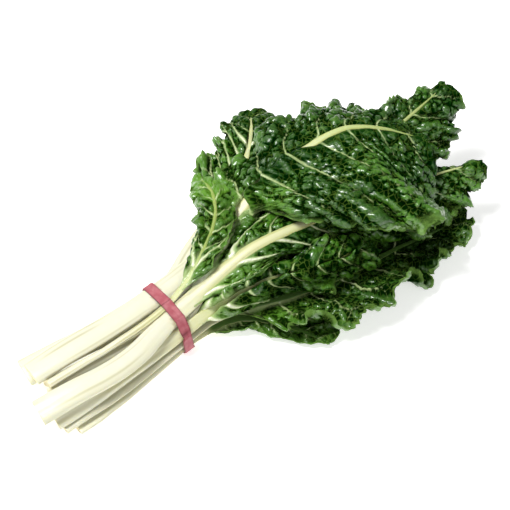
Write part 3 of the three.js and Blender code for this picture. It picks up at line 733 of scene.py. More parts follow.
def puckered_inwards(points: Array) -> float:
    """Scores a blade's fitting: its side veins run in furrows of its outer face.

    Args:
        points: the blade's corner points.

    Returns:
        How far the rows that carry side veins lie sunk, seen from the sheet taken as outer.
    """
    sheets = points[BLADE_CORNERS]
    middle = sheets.mean(axis=0)
    normal = unit(sheets[0] - sheets[1])
    sunk = 0.0
    for row in SIDE_VEIN_ROWS:
        offset = middle[row] - (middle[row - 1] + middle[row + 1]) / 2
        sunk -= (offset * normal[row])[:, 1:HALF_COLUMNS].sum()
    return sunk


@dataclass
class Half:
    """One half of a leaf's blade, as rows × columns of points from its midrib to its margin."""

    leaf: "Leaf"
    side: Side
    rows: Array  # the places of its rows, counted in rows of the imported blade
    draw: Generator

    def __post_init__(self) -> None:
        """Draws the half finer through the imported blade's points.

        It sets point, outward and to_margin, the way to the margin, for each place, with flat, its
        place once the half is spread out, and run, its distance from the midrib. It also sets place,
        each column's share of the way to the margin, and edge, each row's distance along the margin.
        """
        leaf, rows = self.leaf, self.rows
        net = leaf.net[:, self.side.value]
        seam = leaf.centre + unit(net[:, 1] - leaf.centre) * (0.8 * leaf.rib)[:, None]
        columns = np.concatenate([seam[:, None], net[:, 1:]], axis=1)
        count = max(LEAST_COLUMNS, round(arc(columns, 1)[:, -1].max() / leaf.point_spacing))
        share = np.linspace(0, 1, count + 1)
        fine = spline(spline(columns, rows), share * HALF_COLUMNS, 1)
        width = 0.1 + 0.9 * smoothstep(-0.2, 2.4, rows)
        fine = fine[:, :1] + (fine - fine[:, :1]) * width[:, None, None]
        middle = spline(leaf.centre, rows)
        strip = [middle[:, None] * (1 - n / STRIP) + fine[:, :1] * (n / STRIP) for n in range(STRIP)]
        self.point = np.concatenate([*strip, fine], axis=1)
        self.place = np.concatenate([np.zeros(STRIP), share])
        self.run = arc(self.point, 1)
        self.edge = arc(self.point[:, -1])
        # How squarely each row leaves the midrib in its first steps, evened over the rows near it.
        steps, near = 6, 12
        lean = (unit(fine[:, steps] - fine[:, 0]) * unit(np.gradient(middle, axis=0))).sum(axis=-1)
        lean = np.pad(np.arccos(np.clip(lean, -0.95, 0.95)), near, mode="edge")
        lean = np.convolve(lean, np.ones(2 * near + 1) / (2 * near + 1), mode="valid")[:, None]
        ahead = arc(middle)[:, None]
        self.flat = np.stack([ahead + self.run * np.cos(lean), self.run * np.sin(lean)], axis=-1)
        outward = spline(leaf.outward[:, self.side.value], rows)
        self.outward = unit(spline(outward, self.place * HALF_COLUMNS, 1))
        self.to_margin = unit(np.gradient(self.point, axis=1))
        # How much of the ruffles, folds and lobes each row has: little in a narrow row, which is one
        # less than 40 mm wide, and near the blade's two ends.
        wide = np.clip(self.run[:, -1] / 40, 0.25, 1)
        self.ends = smoothstep(0.0, 1.5, rows) * smoothstep(0.0, 2.5, BLADE_ROWS - rows) * wide

    def along(self, size: float) -> Array:
        """Gentle random humps along the margin, of a size in millimetres."""
        return swell(self.edge[:, None], size, self.draw)

    # ------------------------------------------------------------ veins
    def flat_at(self, path: Array) -> Array:
        """Where a path lies once the half is spread out.

        Args:
            path: rows and shares of the way to the margin.

        Returns:
            Flat places in millimetres.
        """
        last_row, last_column = self.run.shape[0] - 2, self.run.shape[1] - 2
        i = np.interp(path[:, 0], self.rows, np.arange(len(self.rows)))
        j = np.interp(np.clip(path[:, 1], 0, 1), self.place[STRIP:], np.arange(STRIP, len(self.place)))
        row = np.clip(np.floor(i).astype(int), 0, last_row)
        column = np.clip(np.floor(j).astype(int), 0, last_column)
        u, v, flat = (i - row)[:, None], (j - column)[:, None], self.flat
        low, high = (flat[row, column + n] * (1 - u) + flat[row + 1, column + n] * u for n in (0, 1))
        return low * (1 - v) + high * v

    def wander(self, start: Array | tuple, end: Array | tuple, sway: float, count: int) -> Array:
        """A path that strays a little from a straight one.

        Args:
            start: the row and the share of the way to the margin that it starts from.
            end: where it ends.
            sway: how far it strays, in rows.
            count: how many points it has.

        Returns:
            Its points.
        """
        t = np.linspace(0, 1, count)
        bend = sum(self.draw.normal() * np.sin(math.pi * n * t) / n for n in (1, 2, 3, 5)) * sway
        rows = start[0] + (end[0] - start[0]) * t + bend
        return np.stack([np.clip(rows, 0, BLADE_ROWS - 0.2), start[1] + (end[1] - start[1]) * t], axis=1)

    def trace(self, path: Array, widths: Pair, heights: Pair, strengths: Pair) -> None:
        """Draws one vein.

        Args:
            path: its course.
            widths: how wide it is at its start and its end, in millimetres.
            heights: how high it stands there, in millimetres.
            strengths: how strongly it shows there.
        """
        line, shares = self.flat_at(path), np.linspace(0, 1, len(path))
        row_step, column_step = self.rows[1] - self.rows[0], 1 / (len(self.place) - STRIP - 1)
        spacing = max(0.3, np.median(np.linalg.norm(np.diff(self.flat[:, STRIP + 4], axis=0), axis=-1)))
        for k in range(len(path) - 1):
            width = widths[0] + (widths[1] - widths[0]) * shares[k]
            reach = 5.2 * width  # past which it doesn't show
            low, high = path[k:k + 2].min(axis=0), path[k:k + 2].max(axis=0)
            first = int(low[0] / row_step - reach / spacing) - 1
            last = int(high[0] / row_step + reach / spacing) + 3
            wide = max(6.0, self.run[min(max(first, 0), len(self.rows) - 1), -1])
            near, far = low[1] - reach / wide, high[1] + reach / wide
            start = 0 if near <= 0 else STRIP + int(near / column_step)
            end = STRIP + int(min(1, far) / column_step) + 2
            window = slice(max(0, first), max(0, last)), slice(start, end)
            there = self.flat[window] - line[k]
            way = line[k + 1] - line[k]
            along = np.clip((there @ way) / max(way @ way, 1e-6), 0, 1)
            apart = np.linalg.norm(there - along[..., None] * way, axis=-1)
            share = shares[k] + along * (shares[k + 1] - shares[k])
            for table, (one, other), spread in ((self.vein, strengths, 0.5), (self.height, heights, 0.62)):
                profile = np.exp(-((apart / (width * spread)) ** 2)) * (one + (other - one) * share)
                table[window] = np.maximum(table[window], profile)

    def veins(self) -> None:
        """Draws the side veins, their forks and the branches between them.

        It sets vein, how strongly each point is part of a vein, and height, how high it stands.
        """
        leaf, draw = self.leaf, self.draw
        self.vein, self.height = np.zeros(self.run.shape), np.zeros(self.run.shape)
        wider = {which: times for side, which, times in leaf.stout if side is self.side}
        for which, row in enumerate(SIDE_VEIN_ROWS):
            times, stout = wider.get(which, 1.0), which in wider
            wide = leaf.vein_width * (0.45 + 0.75 * (1 - row / BLADE_ROWS)) * times
            fork = draw.uniform(0.5, 0.72) - (0.1 if stout else 0)
            end = row + draw.normal() * 0.25 + (2.0 if stout else 0), fork
            main = self.wander((row, 0), end, 0.22, VEIN_POINTS)
            strength = 1.1 if stout else draw.uniform(0.7, 1.05)
            self.trace(main, (wide, 0.4 * wide), (leaf.vein_height * times, 0.4), (strength, 0.5 * strength))
            strength = 0.95 if stout else 0.4
            for way in (-1, 1):
                end = main[-1, 0] + way * draw.uniform(0.55, 1.15), draw.uniform(0.9, 0.99)
                branch = self.wander(main[-1], end, 0.12, FORK_POINTS)
                self.trace(branch, (0.4 * wide, 0.8), (0.4, 0.1), (strength, 0.3 * strength))
                for at in draw.uniform(0.15, 0.9, 3):
                    start = branch[int(at * (FORK_POINTS - 1))]
                    end = start + (draw.choice((-1, 1)) * draw.uniform(0.4, 0.8), draw.uniform(0.03, 0.12))
                    self.trace(self.wander(start, end, 0.06, 6), (0.8, 0.6), (0.2, 0.1), (0.2, 0.05))
            for way in (-1, 1):
                for at in np.arange(0.1, fork - 0.02, BRANCH_STEP) + draw.uniform(-0.02, 0.02):
                    start = main[int(at / fork * (VEIN_POINTS - 1))]
                    end = start + (way * draw.uniform(1.0, 1.5), draw.uniform(0.06, 0.16))
                    self.trace(self.wander(start, end, 0.1, 8), (0.9, 0.6), (0.3, 0.1), (0.25, 0.05))

    # ------------------------------------------------------------ ruffles, folds and pillows
    def waves(self) -> Array:
        """Swings the margin in and out, as it is longer than the leaf, and gathers the blade in folds.

        It also sets phase, where in its swing each row's margin is.

        Returns:
            How far each point moves outwards, in millimetres.
        """
        leaf, place = self.leaf, self.place
        stretch = 1 + 0.3 * self.along(90.0)
        self.phase = math.tau * np.cumsum(np.gradient(self.edge) / (leaf.ruffle_length * stretch))
        size = leaf.ruffle * (0.8 + 0.4 * self.along(60.0))[:, None]
        gather = math.tau * self.edge / (leaf.fold_length * (1 + 0.25 * self.along(110.0)))
        stray = 2.0 * swell(self.flat, 48.0, self.draw)
        crest = (0.5 + 0.5 * np.sin(gather[:, None] + 1.6 * (1 - place) + stray)) ** 1.5
        folds = leaf.folds * (0.75 + 0.5 * self.along(70.0))[:, None] * crest * smoothstep(0.2, 1.0, place)
        phase = self.phase[:, None]
        crinkle = 2.3 * phase + 3.0 * swell(self.flat, 22.0, self.draw)
        swing = np.sin(phase + 0.9 * (1 - place) + 0.7 * stray) + 0.3 * np.sin(crinkle)
        return (size * place ** 2.2 * swing + folds) * self.ends[:, None]

    def pillows(self) -> Array:
        """Pillows of tissue of several sizes, which stand up between the veins.

        Returns:
            How high each point is, from 0 in a crease to about 1 on top of a pillow.
        """
        leaf, lean = self.leaf, math.radians(self.leaf.pillow_lean)
        turned = self.flat @ np.array([[math.cos(lean), -math.sin(lean)], [math.sin(lean), math.cos(lean)]])
        turned = turned * (1 / leaf.pillow_stretch, 1)
        tops = np.zeros(self.run.shape)
        for width, share in zip(leaf.pillow_sizes, leaf.pillow_shares):
            bent = np.stack([swell(self.flat, 1.6 * width, self.draw) for _ in range(2)], axis=-1)
            inside, own = cells(turned + 0.22 * width * bent, width, self.draw)
            dome = 1 - (1 - np.clip(inside / (0.42 * width), 0, 1)) ** 2
            tops += share * (0.45 + 0.55 * own) * dome
        clear = 1 - np.clip(self.vein * 1.2, 0, 1) ** 0.7
        return tops * (0.5 + 0.5 * clear) * (1 - 0.45 * smoothstep(0.92, 1.0, self.place))

    def youth(self) -> Array:
        """How light and smooth the tissue is: most of all at the blade's base.

        Returns:
            A share for each point, from 0 to 1.
        """
        leaf, rows = self.leaf, self.rows[:, None]
        base = (1 - smoothstep(0.0, 8.0, rows)) * (1 - 0.6 * smoothstep(0.1, 0.9, self.place))
        return np.maximum(np.maximum(base, leaf.youth), leaf.bright_tip * smoothstep(14.0, 16.0, rows))

    def lobed(self, room: Array) -> Array:
        """Round lobes of the margin with narrow notches between them.

        Args:
            room: how far each point may move either way, in millimetres.

        Returns:
            A movement for each point, in millimetres.
        """
        beat = self.edge / (self.leaf.lobe_length * (1 + 0.3 * self.along(50.0)))
        lobes = self.leaf.lobe * (np.abs(np.sin(math.pi * beat)) ** 0.5 - 0.7) * self.ends
        free = np.clip(room / 2.5, 0.2, 1)
        return (free * lobes[:, None] * self.place ** 4)[..., None] * self.to_margin

    def curl(self, room_in: Array, room_out: Array) -> Array:
        """How far the margin curls over.

        Args:
            room_in: how far each point may move inwards, in millimetres.
            room_out: how far it may move outwards.

        Returns:
            Each row's turn in radians, towards the outer face.
        """
        leaf = self.leaf
        amount = 0.62 + 0.26 * np.sin(0.8 * self.phase + 0.9) + 0.22 * self.along(28.0)
        swing = -amount * np.tanh(2.5 * (leaf.under + self.along(120.0)))
        free_in, free_out = (np.clip(room[:, -ROLL_COLUMNS:].min(axis=1) / (0.45 * leaf.roll), 0, 1)
                             for room in (room_in, room_out))
        free = np.where(swing > 0, free_out, 0.7 * free_in)
        return math.radians(leaf.roll_turn) * swing * free * self.ends

    def lapped(self) -> Array:
        """How the tissue beside the midrib swells up and laps over it.

        Returns:
            A movement for each point, in millimetres.
        """
        leaf = self.leaf
        beside = self.run - self.run[:, STRIP:STRIP + 1]
        swelled = smoothstep(0.0, 4.0, beside) * (1 - smoothstep(5.0, 16.0, beside))
        uneven = 1.0 + 0.25 * swell(arc(self.point[:, STRIP])[:, None], 18.0, self.draw)
        further = smoothstep(leaf.lap_rows - 3, leaf.lap_rows, self.rows)
        amount = uneven * (leaf.lap[self.side.value] * (1 - further) + 1.5 * further) * self.ends
        return (amount[:, None] * swelled)[..., None] * (1.1 * self.outward - 0.75 * self.to_margin)

    def rolled(self, point: Array, turn: Array) -> Array:
        """Curls the margin over.

        Args:
            point: the half's points, as rows × columns × 3.
            turn: how far each row's margin turns, in radians, towards the outer face.

        Returns:
            The points in their new places.
        """
        steps = np.diff(point, axis=1)
        length = np.linalg.norm(steps, axis=-1)
        left = np.cumsum(length[:, ::-1], axis=1)[:, ::-1]
        angle = (turn[:, None] * smoothstep(self.leaf.roll, 0.0, left))[..., None]
        way, outward = unit(steps), self.outward[:, 1:]
        up = unit(outward - (outward * way).sum(axis=-1, keepdims=True) * way)
        turned = (way * np.cos(angle) + up * np.sin(angle)) * length[..., None]
        return np.concatenate([point[:, :1], point[:, :1] + np.cumsum(turned, axis=1)], axis=1)

    def room(self, ways: Array) -> Array:
        """How far each point may move one way before it could meet another leaf or the floor.

        Args:
            ways: the way that each would move.

        Returns:
            Distances in millimetres, evened out so that neighbours differ little.
        """
        step = 3  # only every third point is tried
        leaf, points, ways = self.leaf, self.point[::step, ::step], ways[::step, ::step]
        found = np.empty(points.shape[:2])
        for at in np.ndindex(found.shape):
            point, way = points[at], ways[at]
            limits = [leaf.most_room]
            start = Vector(point + TRIED_FROM * way)
            hit = leaf.others.ray_cast(start, Vector(way), 2 * leaf.most_room)[3]
            spot, _, _, near = leaf.others.find_nearest(Vector(point), NEAR_LEAF)
            if hit is not None:
                limits.append((hit + TRIED_FROM) / 2)
            if near is not None and (np.array(spot) - point) @ way > -0.3 * near:
                limits.append(near)
            if way[2] < -0.05:
                limits.append(max(0.2, point[2] - FLOOR_GAP) / -way[2])
            found[at] = min(limits)
        found = evened(found)
        for count in reversed(self.run.shape):
            at = np.arange(count) / step
            found = np.stack([np.interp(at, np.arange(len(line)), line) for line in found]).T
        return np.maximum(LEAST_ROOM, found - LEFT_FREE)

    def dressed(self) -> dict[str, Array]:
        """The half with its ruffles, folds, veins and pillows.

        Returns:
            Its points, and the marks that its material reads.
        """
        leaf, place, outer = self.leaf, self.place, self.outward
        self.veins()
        room_in, room_out = self.room(-outer), self.room(outer)
        waves, tops, youth = self.waves(), self.pillows(), self.youth()
        relief = leaf.relief * smoothstep(0.0, 0.14, place) * (0.35 + 0.65 * self.ends[:, None])
        relief = relief * (1 - 0.6 * youth)
        low = np.minimum(0.45 * relief, room_in)
        high = np.minimum(relief - low, room_out)
        rise = -low + (low + high) * tops * 1.15 + self.height * smoothstep(-0.02, 0.02, place) + waves
        rise = np.where(rise > 0, room_out * np.tanh(rise / room_out), room_in * np.tanh(rise / room_in))
        stands = sum(raised(rise, reach) / height for reach, height in ((4, 1.3), (12, 3.2), (26, 7.0)))
        rise[:, :STRIP] = 0.0
        moved = rise[..., None] * outer + self.lobed(np.minimum(room_in, room_out))
        turn = self.curl(room_in, room_out)
        point = self.rolled(self.point + moved + self.lapped(), turn)
        point[..., 2] = np.maximum(point[..., 2], LEAST_HEIGHT + leaf.thickness / 2)
        # Beside the midrib of its first rows the tissue is as pale as a vein.
        beside = (self.run - self.run[:, STRIP:STRIP + 1]) / 5.0
        pale = np.exp(-beside ** 2) * (1 - smoothstep(3.0, 9.0, self.rows))[:, None]
        return {
            "point": point,
            "vein": np.maximum(self.vein, 0.6 * pale),
            # How lit the tissue is painted: lighter on the pillows' tops, and darker as painted shade in the
            # creases and on a leaf lying under others
            "pillow_light": np.clip(0.5 + 0.5 * stands + 0.2 * youth - 0.3 * leaf.age, 0, 1),
            "margin": np.broadcast_to(smoothstep(0.86, 0.97, place), self.run.shape),
            "young": youth,
        }


@dataclass
class Leaf:
    """One leaf: its stalk and midrib, and the blade on both sides of it.

    The fields that are shares run from 0 to 1.
    """

    name: str
    seed: int
    ruffle: float = 5.0  # how far the margin swings, in millimetres
    ruffle_length: float = 27.0  # from one ruffle to the next, in millimetres
    relief: float = 6.6  # between the tops of the pillows of tissue and their creases, in millimetres
    pillow_sizes: tuple[float, ...] = (21.0, 8.0, 4.0)  # millimetres, the largest pillows first
    pillow_shares: tuple[float, ...] = (0.4, 0.33, 0.27)  # of the relief
    pillow_stretch: float = 1.2  # their length along the side veins over their width
    pillow_lean: float = 45.0  # degrees from the midrib to the side veins
    lobe: float = 5.0  # how far the margin's lobes stand out, in millimetres
    lobe_length: float = 14.0
    youth: float = 0.0  # how light and smooth all of the blade is at least
    bright_tip: float = 0.0  # and its part past two thirds of its rows
    age: float = 0.0  # how much darker its tissue is painted, as shade for lying under the other leaves
    folds: float = 4.0  # how far the blade gathers up towards its margin, in millimetres
    fold_length: float = 34.0  # from one fold to the next, in millimetres
    lap: Pair = (1.5, 1.5)  # how far each half laps over the midrib, in millimetres
    lap_rows: float = 24.0  # how far up the blade that goes on, in rows, before it falls to 1.5 mm
    roll: float = 11.0  # how much of the blade curls over at the margin, in millimetres
    roll_turn: float = 140.0  # the margin's turn where it curls most, in degrees
    under: float = 0.45  # how much more of the margin curls under than over
    vein_width: float = 1.7  # of a side vein at the midrib, in millimetres
    vein_height: float = 0.9
    stout: tuple[tuple[Side, int, float], ...] = ()  # side veins that are wider: half, which, times
    point_spacing: float = 1.1  # between the blade's points, in millimetres
    thickness: float = 0.7
    most_room: float = 18.0  # the most that any point is taken to have, in millimetres
    dim_within: float = 6.0  # how near another leaf a stalk looks darker, in millimetres
    greening: float = 0.0  # how much sooner than usual its midrib turns green
    others: BVHTree | None = field(default=None, repr=False)  # the solids round it

    def read(self) -> None:
        """Reads the leaf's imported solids."""
        sheets = fitted(f"blade_{self.name}", BLADE_NET, BLADE_COUNT, puckered_inwards)[BLADE_CORNERS]
        self.outward = unit(sheets[0] - sheets[1])
        self.net = sheets[1] + self.outward * (BLADE_THICKNESS / 2)
        rings = fitted(f"stalk_{self.name}", STALK_NET, STALK_RINGS * SECTION_SIDES,
                       lambda points: -float(points[:SECTION_SIDES, 0].mean()))
        self.rings = rings.reshape(STALK_RINGS, SECTION_SIDES, 3)
        self.centre = self.net[:, :, 0].mean(axis=1)
        # Half of the midrib's width at each row, tapering out towards the tip.
        seam = np.linalg.norm(self.net[:RIB_ROWS, 0, 0] - self.net[:RIB_ROWS, 1, 0], axis=-1) / 2 - SEAM_GAP
        self.rib = np.concatenate([seam, np.linspace(seam[-1], 0.4, BLADE_ROWS - RIB_ROWS + 2)[1:]])

    def blade(self, front: Material, back: Material) -> Object:
        """Builds the blade.

        Args:
            front: the finish of the leaf's outer face.
            back: the finish of its inner face.

        Returns:
            The piece.
        """
        draw = default_rng(self.seed)
        rows = np.linspace(0, BLADE_ROWS, max(60, round(arc(self.centre)[-1] / self.point_spacing)) + 1)
        halves = []
        for side in Side:
            half = Half(self, side, rows, draw)
            halves.append({**half.dressed(), "outward": half.outward})
        left, right = halves
        whole = {key: np.concatenate([left[key][:, :0:-1], right[key]], axis=1) for key in left}
        marks = {key: whole[key] for key in ("vein", "pillow_light", "margin", "young")}
        piece = sheet_mesh(f"leaf_blade_{self.name}", whole["point"], marks, outward=whole["outward"])
        shell = piece.modifiers.new("thickness", "SOLIDIFY")
        shell.thickness = self.thickness * MM
        shell.offset = 0.0
        shell.material_offset = 1
        return stand_in(piece, f"blade_{self.name}", "blade", front, back)


@dataclass
class Stalk:
    """A leaf's stalk, with the midrib that it carries on as. Its lengths are in millimetres."""

    leaf: Leaf
    spacing: float = 1.8  # between its rings
    sides: int = 40
    rib_spacing: float = 4.2  # from one rib to the next round the cut end
    rib_height: float = 0.16
    unevenness: float = 0.5
    bevel: float = 0.35  # of the cut face's rim
    # The rings of the cut face: their shares of its radius, and how far each lies sunk.
    face: tuple[Pair, ...] = ((0.0, 0.9), (0.3, 0.8), (0.55, 0.55), (0.75, 0.3), (0.88, 0.05), (0.96, 0.0))
    face_roughness: float = 0.12

    def rings(self) -> Array:
        """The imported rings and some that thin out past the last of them, along the blade.

        Returns:
            Points as rings × sides × 3, with the first of each ring repeated as its last.
        """
        leaf, last = self.leaf, self.leaf.rings[-1]
        rows = np.arange(RIB_ROWS, BLADE_ROWS + 1)
        shares = 0.9 * np.maximum(0.12, (BLADE_ROWS + 0.15 - rows) / (BLADE_ROWS + 1 - RIB_ROWS))
        tip = leaf.centre[rows][:, None] + (last - last.mean(axis=0)) * shares[:, None, None]
        return rounded(np.concatenate([leaf.rings, tip]), self.sides)

    def cut_face(self, rim: Array, middle: Array, inwards: Array) -> Array:
        """The cut face, as rings from its middle outwards.

        Args:
            rim: the stalk's first ring.
            middle: that ring's middle.
            inwards: the way along the stalk.

        Returns:
            Points as rings × sides × 3.
        """
        rings = []
        for share, sunk in self.face:
            rough = self.face_roughness * swell(rim * share, 4.0, default_rng(self.leaf.seed + 5))[:, None]
            rough[-1] = rough[0]
            rings.append(middle + (rim - middle) * share + inwards * (sunk + (rough if share else 0)))
        return np.stack(rings)

    def closed_in(self, points: Array, ways: Array) -> Array:
        """How closed in each point is by other leaves, from 0 in the open to 1 where they touch.

        Args:
            points: the points, as rows × columns × 3.
            ways: each point's way out.

        Returns:
            A number for each point.
        """
        found, within = np.zeros(points.shape[:2]), self.leaf.dim_within
        for at in np.ndindex(found.shape):
            hit = self.leaf.others.ray_cast(Vector(points[at] + 0.3 * ways[at]), Vector(ways[at]), within)[3]
            if hit is not None:
                found[at] = 1 - hit / within
        return found

    def build(self, flesh: Material) -> Object:
        """Builds the stalk.

        Args:
            flesh: its finish.

        Returns:
            The piece.
        """
        leaf, draw, rings = self.leaf, default_rng(self.leaf.seed + 1), self.rings()
        run = arc(rings[:, :-1].mean(axis=1))
        distance = np.linspace(0, run[-1], round(run[-1] / self.spacing) + 1)
        body = spline(rings, np.interp(distance, run, np.arange(len(run))))
        middle = body[:, :-1].mean(axis=1, keepdims=True)
        girth = np.linalg.norm(np.diff(body, axis=1), axis=-1).sum(axis=1)
        # Ribs run along it, bent a little this way and that, over a surface that is uneven throughout.
        turn = np.linspace(0, math.tau, self.sides + 1)
        bent = 1.1 * np.sin(2 * turn + draw.uniform(0, 6)) + 0.9 * np.sin(5 * turn + draw.uniform(0, 6))
        ribs = np.cos(turn * np.round(girth[0] / self.rib_spacing) + bent)[None, :]
        around = np.broadcast_arrays(distance[:, None] / 60, np.cos(turn), np.sin(turn))
        uneven = swell(np.stack(around, axis=-1), 1.2, draw)
        swelled = self.rib_height * ribs + self.unevenness * uneven
        swelled *= np.clip(girth / girth[0], 0.1, 1)[:, None]
        swelled[:, -1] = swelled[:, 0]
        # Painted shade in the furrows between the ribs.
        furrow = np.clip(-ribs - 0.6, 0, 1) / 0.4 * np.clip(0.4 + 0.9 * uneven, 0, 1)
        body = body + unit(body - middle) * swelled[..., None]
        inwards = unit(middle[1, 0] - middle[0, 0])
        face = self.cut_face(body[0], middle[0], inwards)
        body[0] += inwards * self.bevel
        table = np.concatenate([face, body, np.broadcast_to(middle[-1:], body[-1:].shape)])
        table[..., 2] = np.maximum(table[..., 2], 0.0)
        # The marks that its material reads, for the cut face's rings, the body's and the shut tip.
        extra = (len(face), 1)
        ways = unit(table - np.pad(middle, (extra, (0, 0), (0, 0)), mode="edge"))
        distance, bare = np.pad(distance, extra, mode="edge"), run[PETIOLE_RINGS]
        place = np.interp(distance, (bare, run[-1]), (0, 1))
        outer = spline(unit(leaf.outward[:, :, :2].mean(axis=(1, 2))), place * BLADE_ROWS)[:, None]
        facing_out, place = (ways * outer).sum(axis=-1), place[:, None]
        along = np.interp(distance, (0, bare, run[-1]), (0, 0.5, 1))
        marks = {
            "deep": self.closed_in(table, ways),
            "furrow": np.pad(furrow, (extra, (0, 0))),
            "inner": 0.9 * smoothstep(0.1, -0.3, facing_out) * smoothstep(0.0, 0.1, place),
            # painted shade on the flanks
            "flank_shade": smoothstep(0.75, 0.1, facing_out) * (0.15 + 0.85 * smoothstep(0.0, 0.08, place)),
            "along": np.clip(along * (1 + leaf.greening), 0, 1)[:, None],
            "cut": (np.arange(len(table)) < len(face))[:, None],
        }
        piece = sheet_mesh(f"leaf_stalk_{leaf.name}", table, marks, closed=True)
        return stand_in(piece, f"stalk_{leaf.name}", "stalk", flesh)


# ---------------------------------------------------------------- the rubber band
@dataclass
class RubberBand:
    """The flat band round the stalks."""

    node: str = "band"
    steps: int = 260  # round it
    flat: float = 0.9  # the share of its width between its rounded edges
    fold_way: Pair = (-0.97, 0.1)  # the fold's way from its middle, along Y and Z
    fold_width: float = 3.0  # millimetres along the band
    fold_height: float = 1.4  # times half of its thickness

    def layout(self) -> list[Triangle]:
        """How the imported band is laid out, as two loops at each edge, the inner one first.

        Returns:
            Its triangles.
        """
        corner = np.arange(4 * BAND_CORNERS).reshape(2, 2, BAND_CORNERS)
        after = np.roll(corner, -1, axis=2)
        triangles: list[Triangle] = []
        for n in range(BAND_CORNERS):
            for near, far in (((0, 1), (0, 0)), ((1, 0), (1, 1)), ((1, 1), (0, 1)), ((0, 0), (1, 0))):
                a, b = int(corner[near][n]), int(after[near][n])
                c, d = int(after[far][n]), int(corner[far][n])
                triangles += [(a, c, b), (a, d, c)]
        return triangles

    def outer_last(self, points: Array) -> float:
        """Scores a fitting: each edge's second loop is the outer one, and the first edge has the lower X.

        Args:
            points: the band's corner points.

        Returns:
            How much longer the outer loops are and how far the second edge lies along X, together.
        """
        loops = points.reshape(2, 2, BAND_CORNERS, 3)
        size = arc(loops[0, 1])[-1] + arc(loops[1, 1])[-1] - arc(loops[0, 0])[-1] - arc(loops[1, 0])[-1]
        return float(size + (loops[1, :, :, 0].mean() - loops[0, :, :, 0].mean()))

    def section(self) -> Array:
        """Its section: across the outer face, round an edge, back along the inner face, round the other.

        Returns:
            For each point, its places across and through the band, from -1 to 1.
        """
        turns = np.radians(np.linspace(90, -90, 7)[1:-1])
        edge = np.stack([self.flat + (1 - self.flat) * np.cos(turns), np.sin(turns)], axis=1)
        face = np.stack([np.linspace(-self.flat, self.flat, 13), np.ones(13)], axis=1)
        return np.concatenate([face, edge, -face, -edge, face[:1]])

    def build(self, rubber: Material) -> Object:
        """Builds the band.

        Args:
            rubber: its finish.

        Returns:
            The piece.
        """
        points = fitted(self.node, self.layout(), 4 * BAND_CORNERS, self.outer_last)
        loops = points.reshape(4, BAND_CORNERS, 3)
        closed = np.concatenate([loops[:, -2:], loops, loops[:, :3]], axis=1)
        fine = spline(closed, 2 + np.linspace(0, BAND_CORNERS, self.steps + 1), 1)
        fine = fine.reshape(2, 2, self.steps + 1, 1, 3)
        inner, outer = fine[:, 0], fine[:, 1]
        turn = np.linspace(0, math.tau, self.steps + 1)
        sway = 0.5 * swell(np.stack([np.cos(turn), np.sin(turn)], axis=-1), 1.1, default_rng(5))[:, None]
        # It is folded over itself low down on the near side.
        loop = outer.mean(axis=(0, 2))
        away = unit((loop - loop.mean(axis=0))[:, 1:]) @ unit(np.array(self.fold_way))
        run = arc(loop)
        beside = ((run - run[np.argmax(away)]) / self.fold_width)[:, None]
        fold = np.exp(-beside ** 2)
        shadow = np.exp(-((beside + 1.1) / 0.5) ** 2)
        across, through = self.section().T
        front, share = np.maximum(0.0, through), ((across + 1) / 2)[:, None]
        middle, half = (outer + inner) / 2, (outer - inner) / 2
        centre, out = (edges[0] + (edges[1] - edges[0]) * share for edges in (middle, half))
        crease = 1 - 0.35 * front * np.exp(-((across - 0.1 - 0.3 * sway) / 0.16) ** 2)
        lift = self.fold_height * fold * front * (1 - 0.5 * across)
        table = centre + out * (through * crease + lift)[..., None]
        table[..., 0] += sway - 0.9 * fold * across
        table[-1] = table[0]
        # Painted shade at its edges and a painted shadow beside the fold.
        edge_shade = np.clip(0.8 * np.abs(across) ** 8 + 0.9 * shadow * (1 - 0.5 * across), 0, 1)
        piece = sheet_mesh("rubber_band", table, {"edge": edge_shade}, closed=True)
        return stand_in(piece, self.node, "band", rubber)


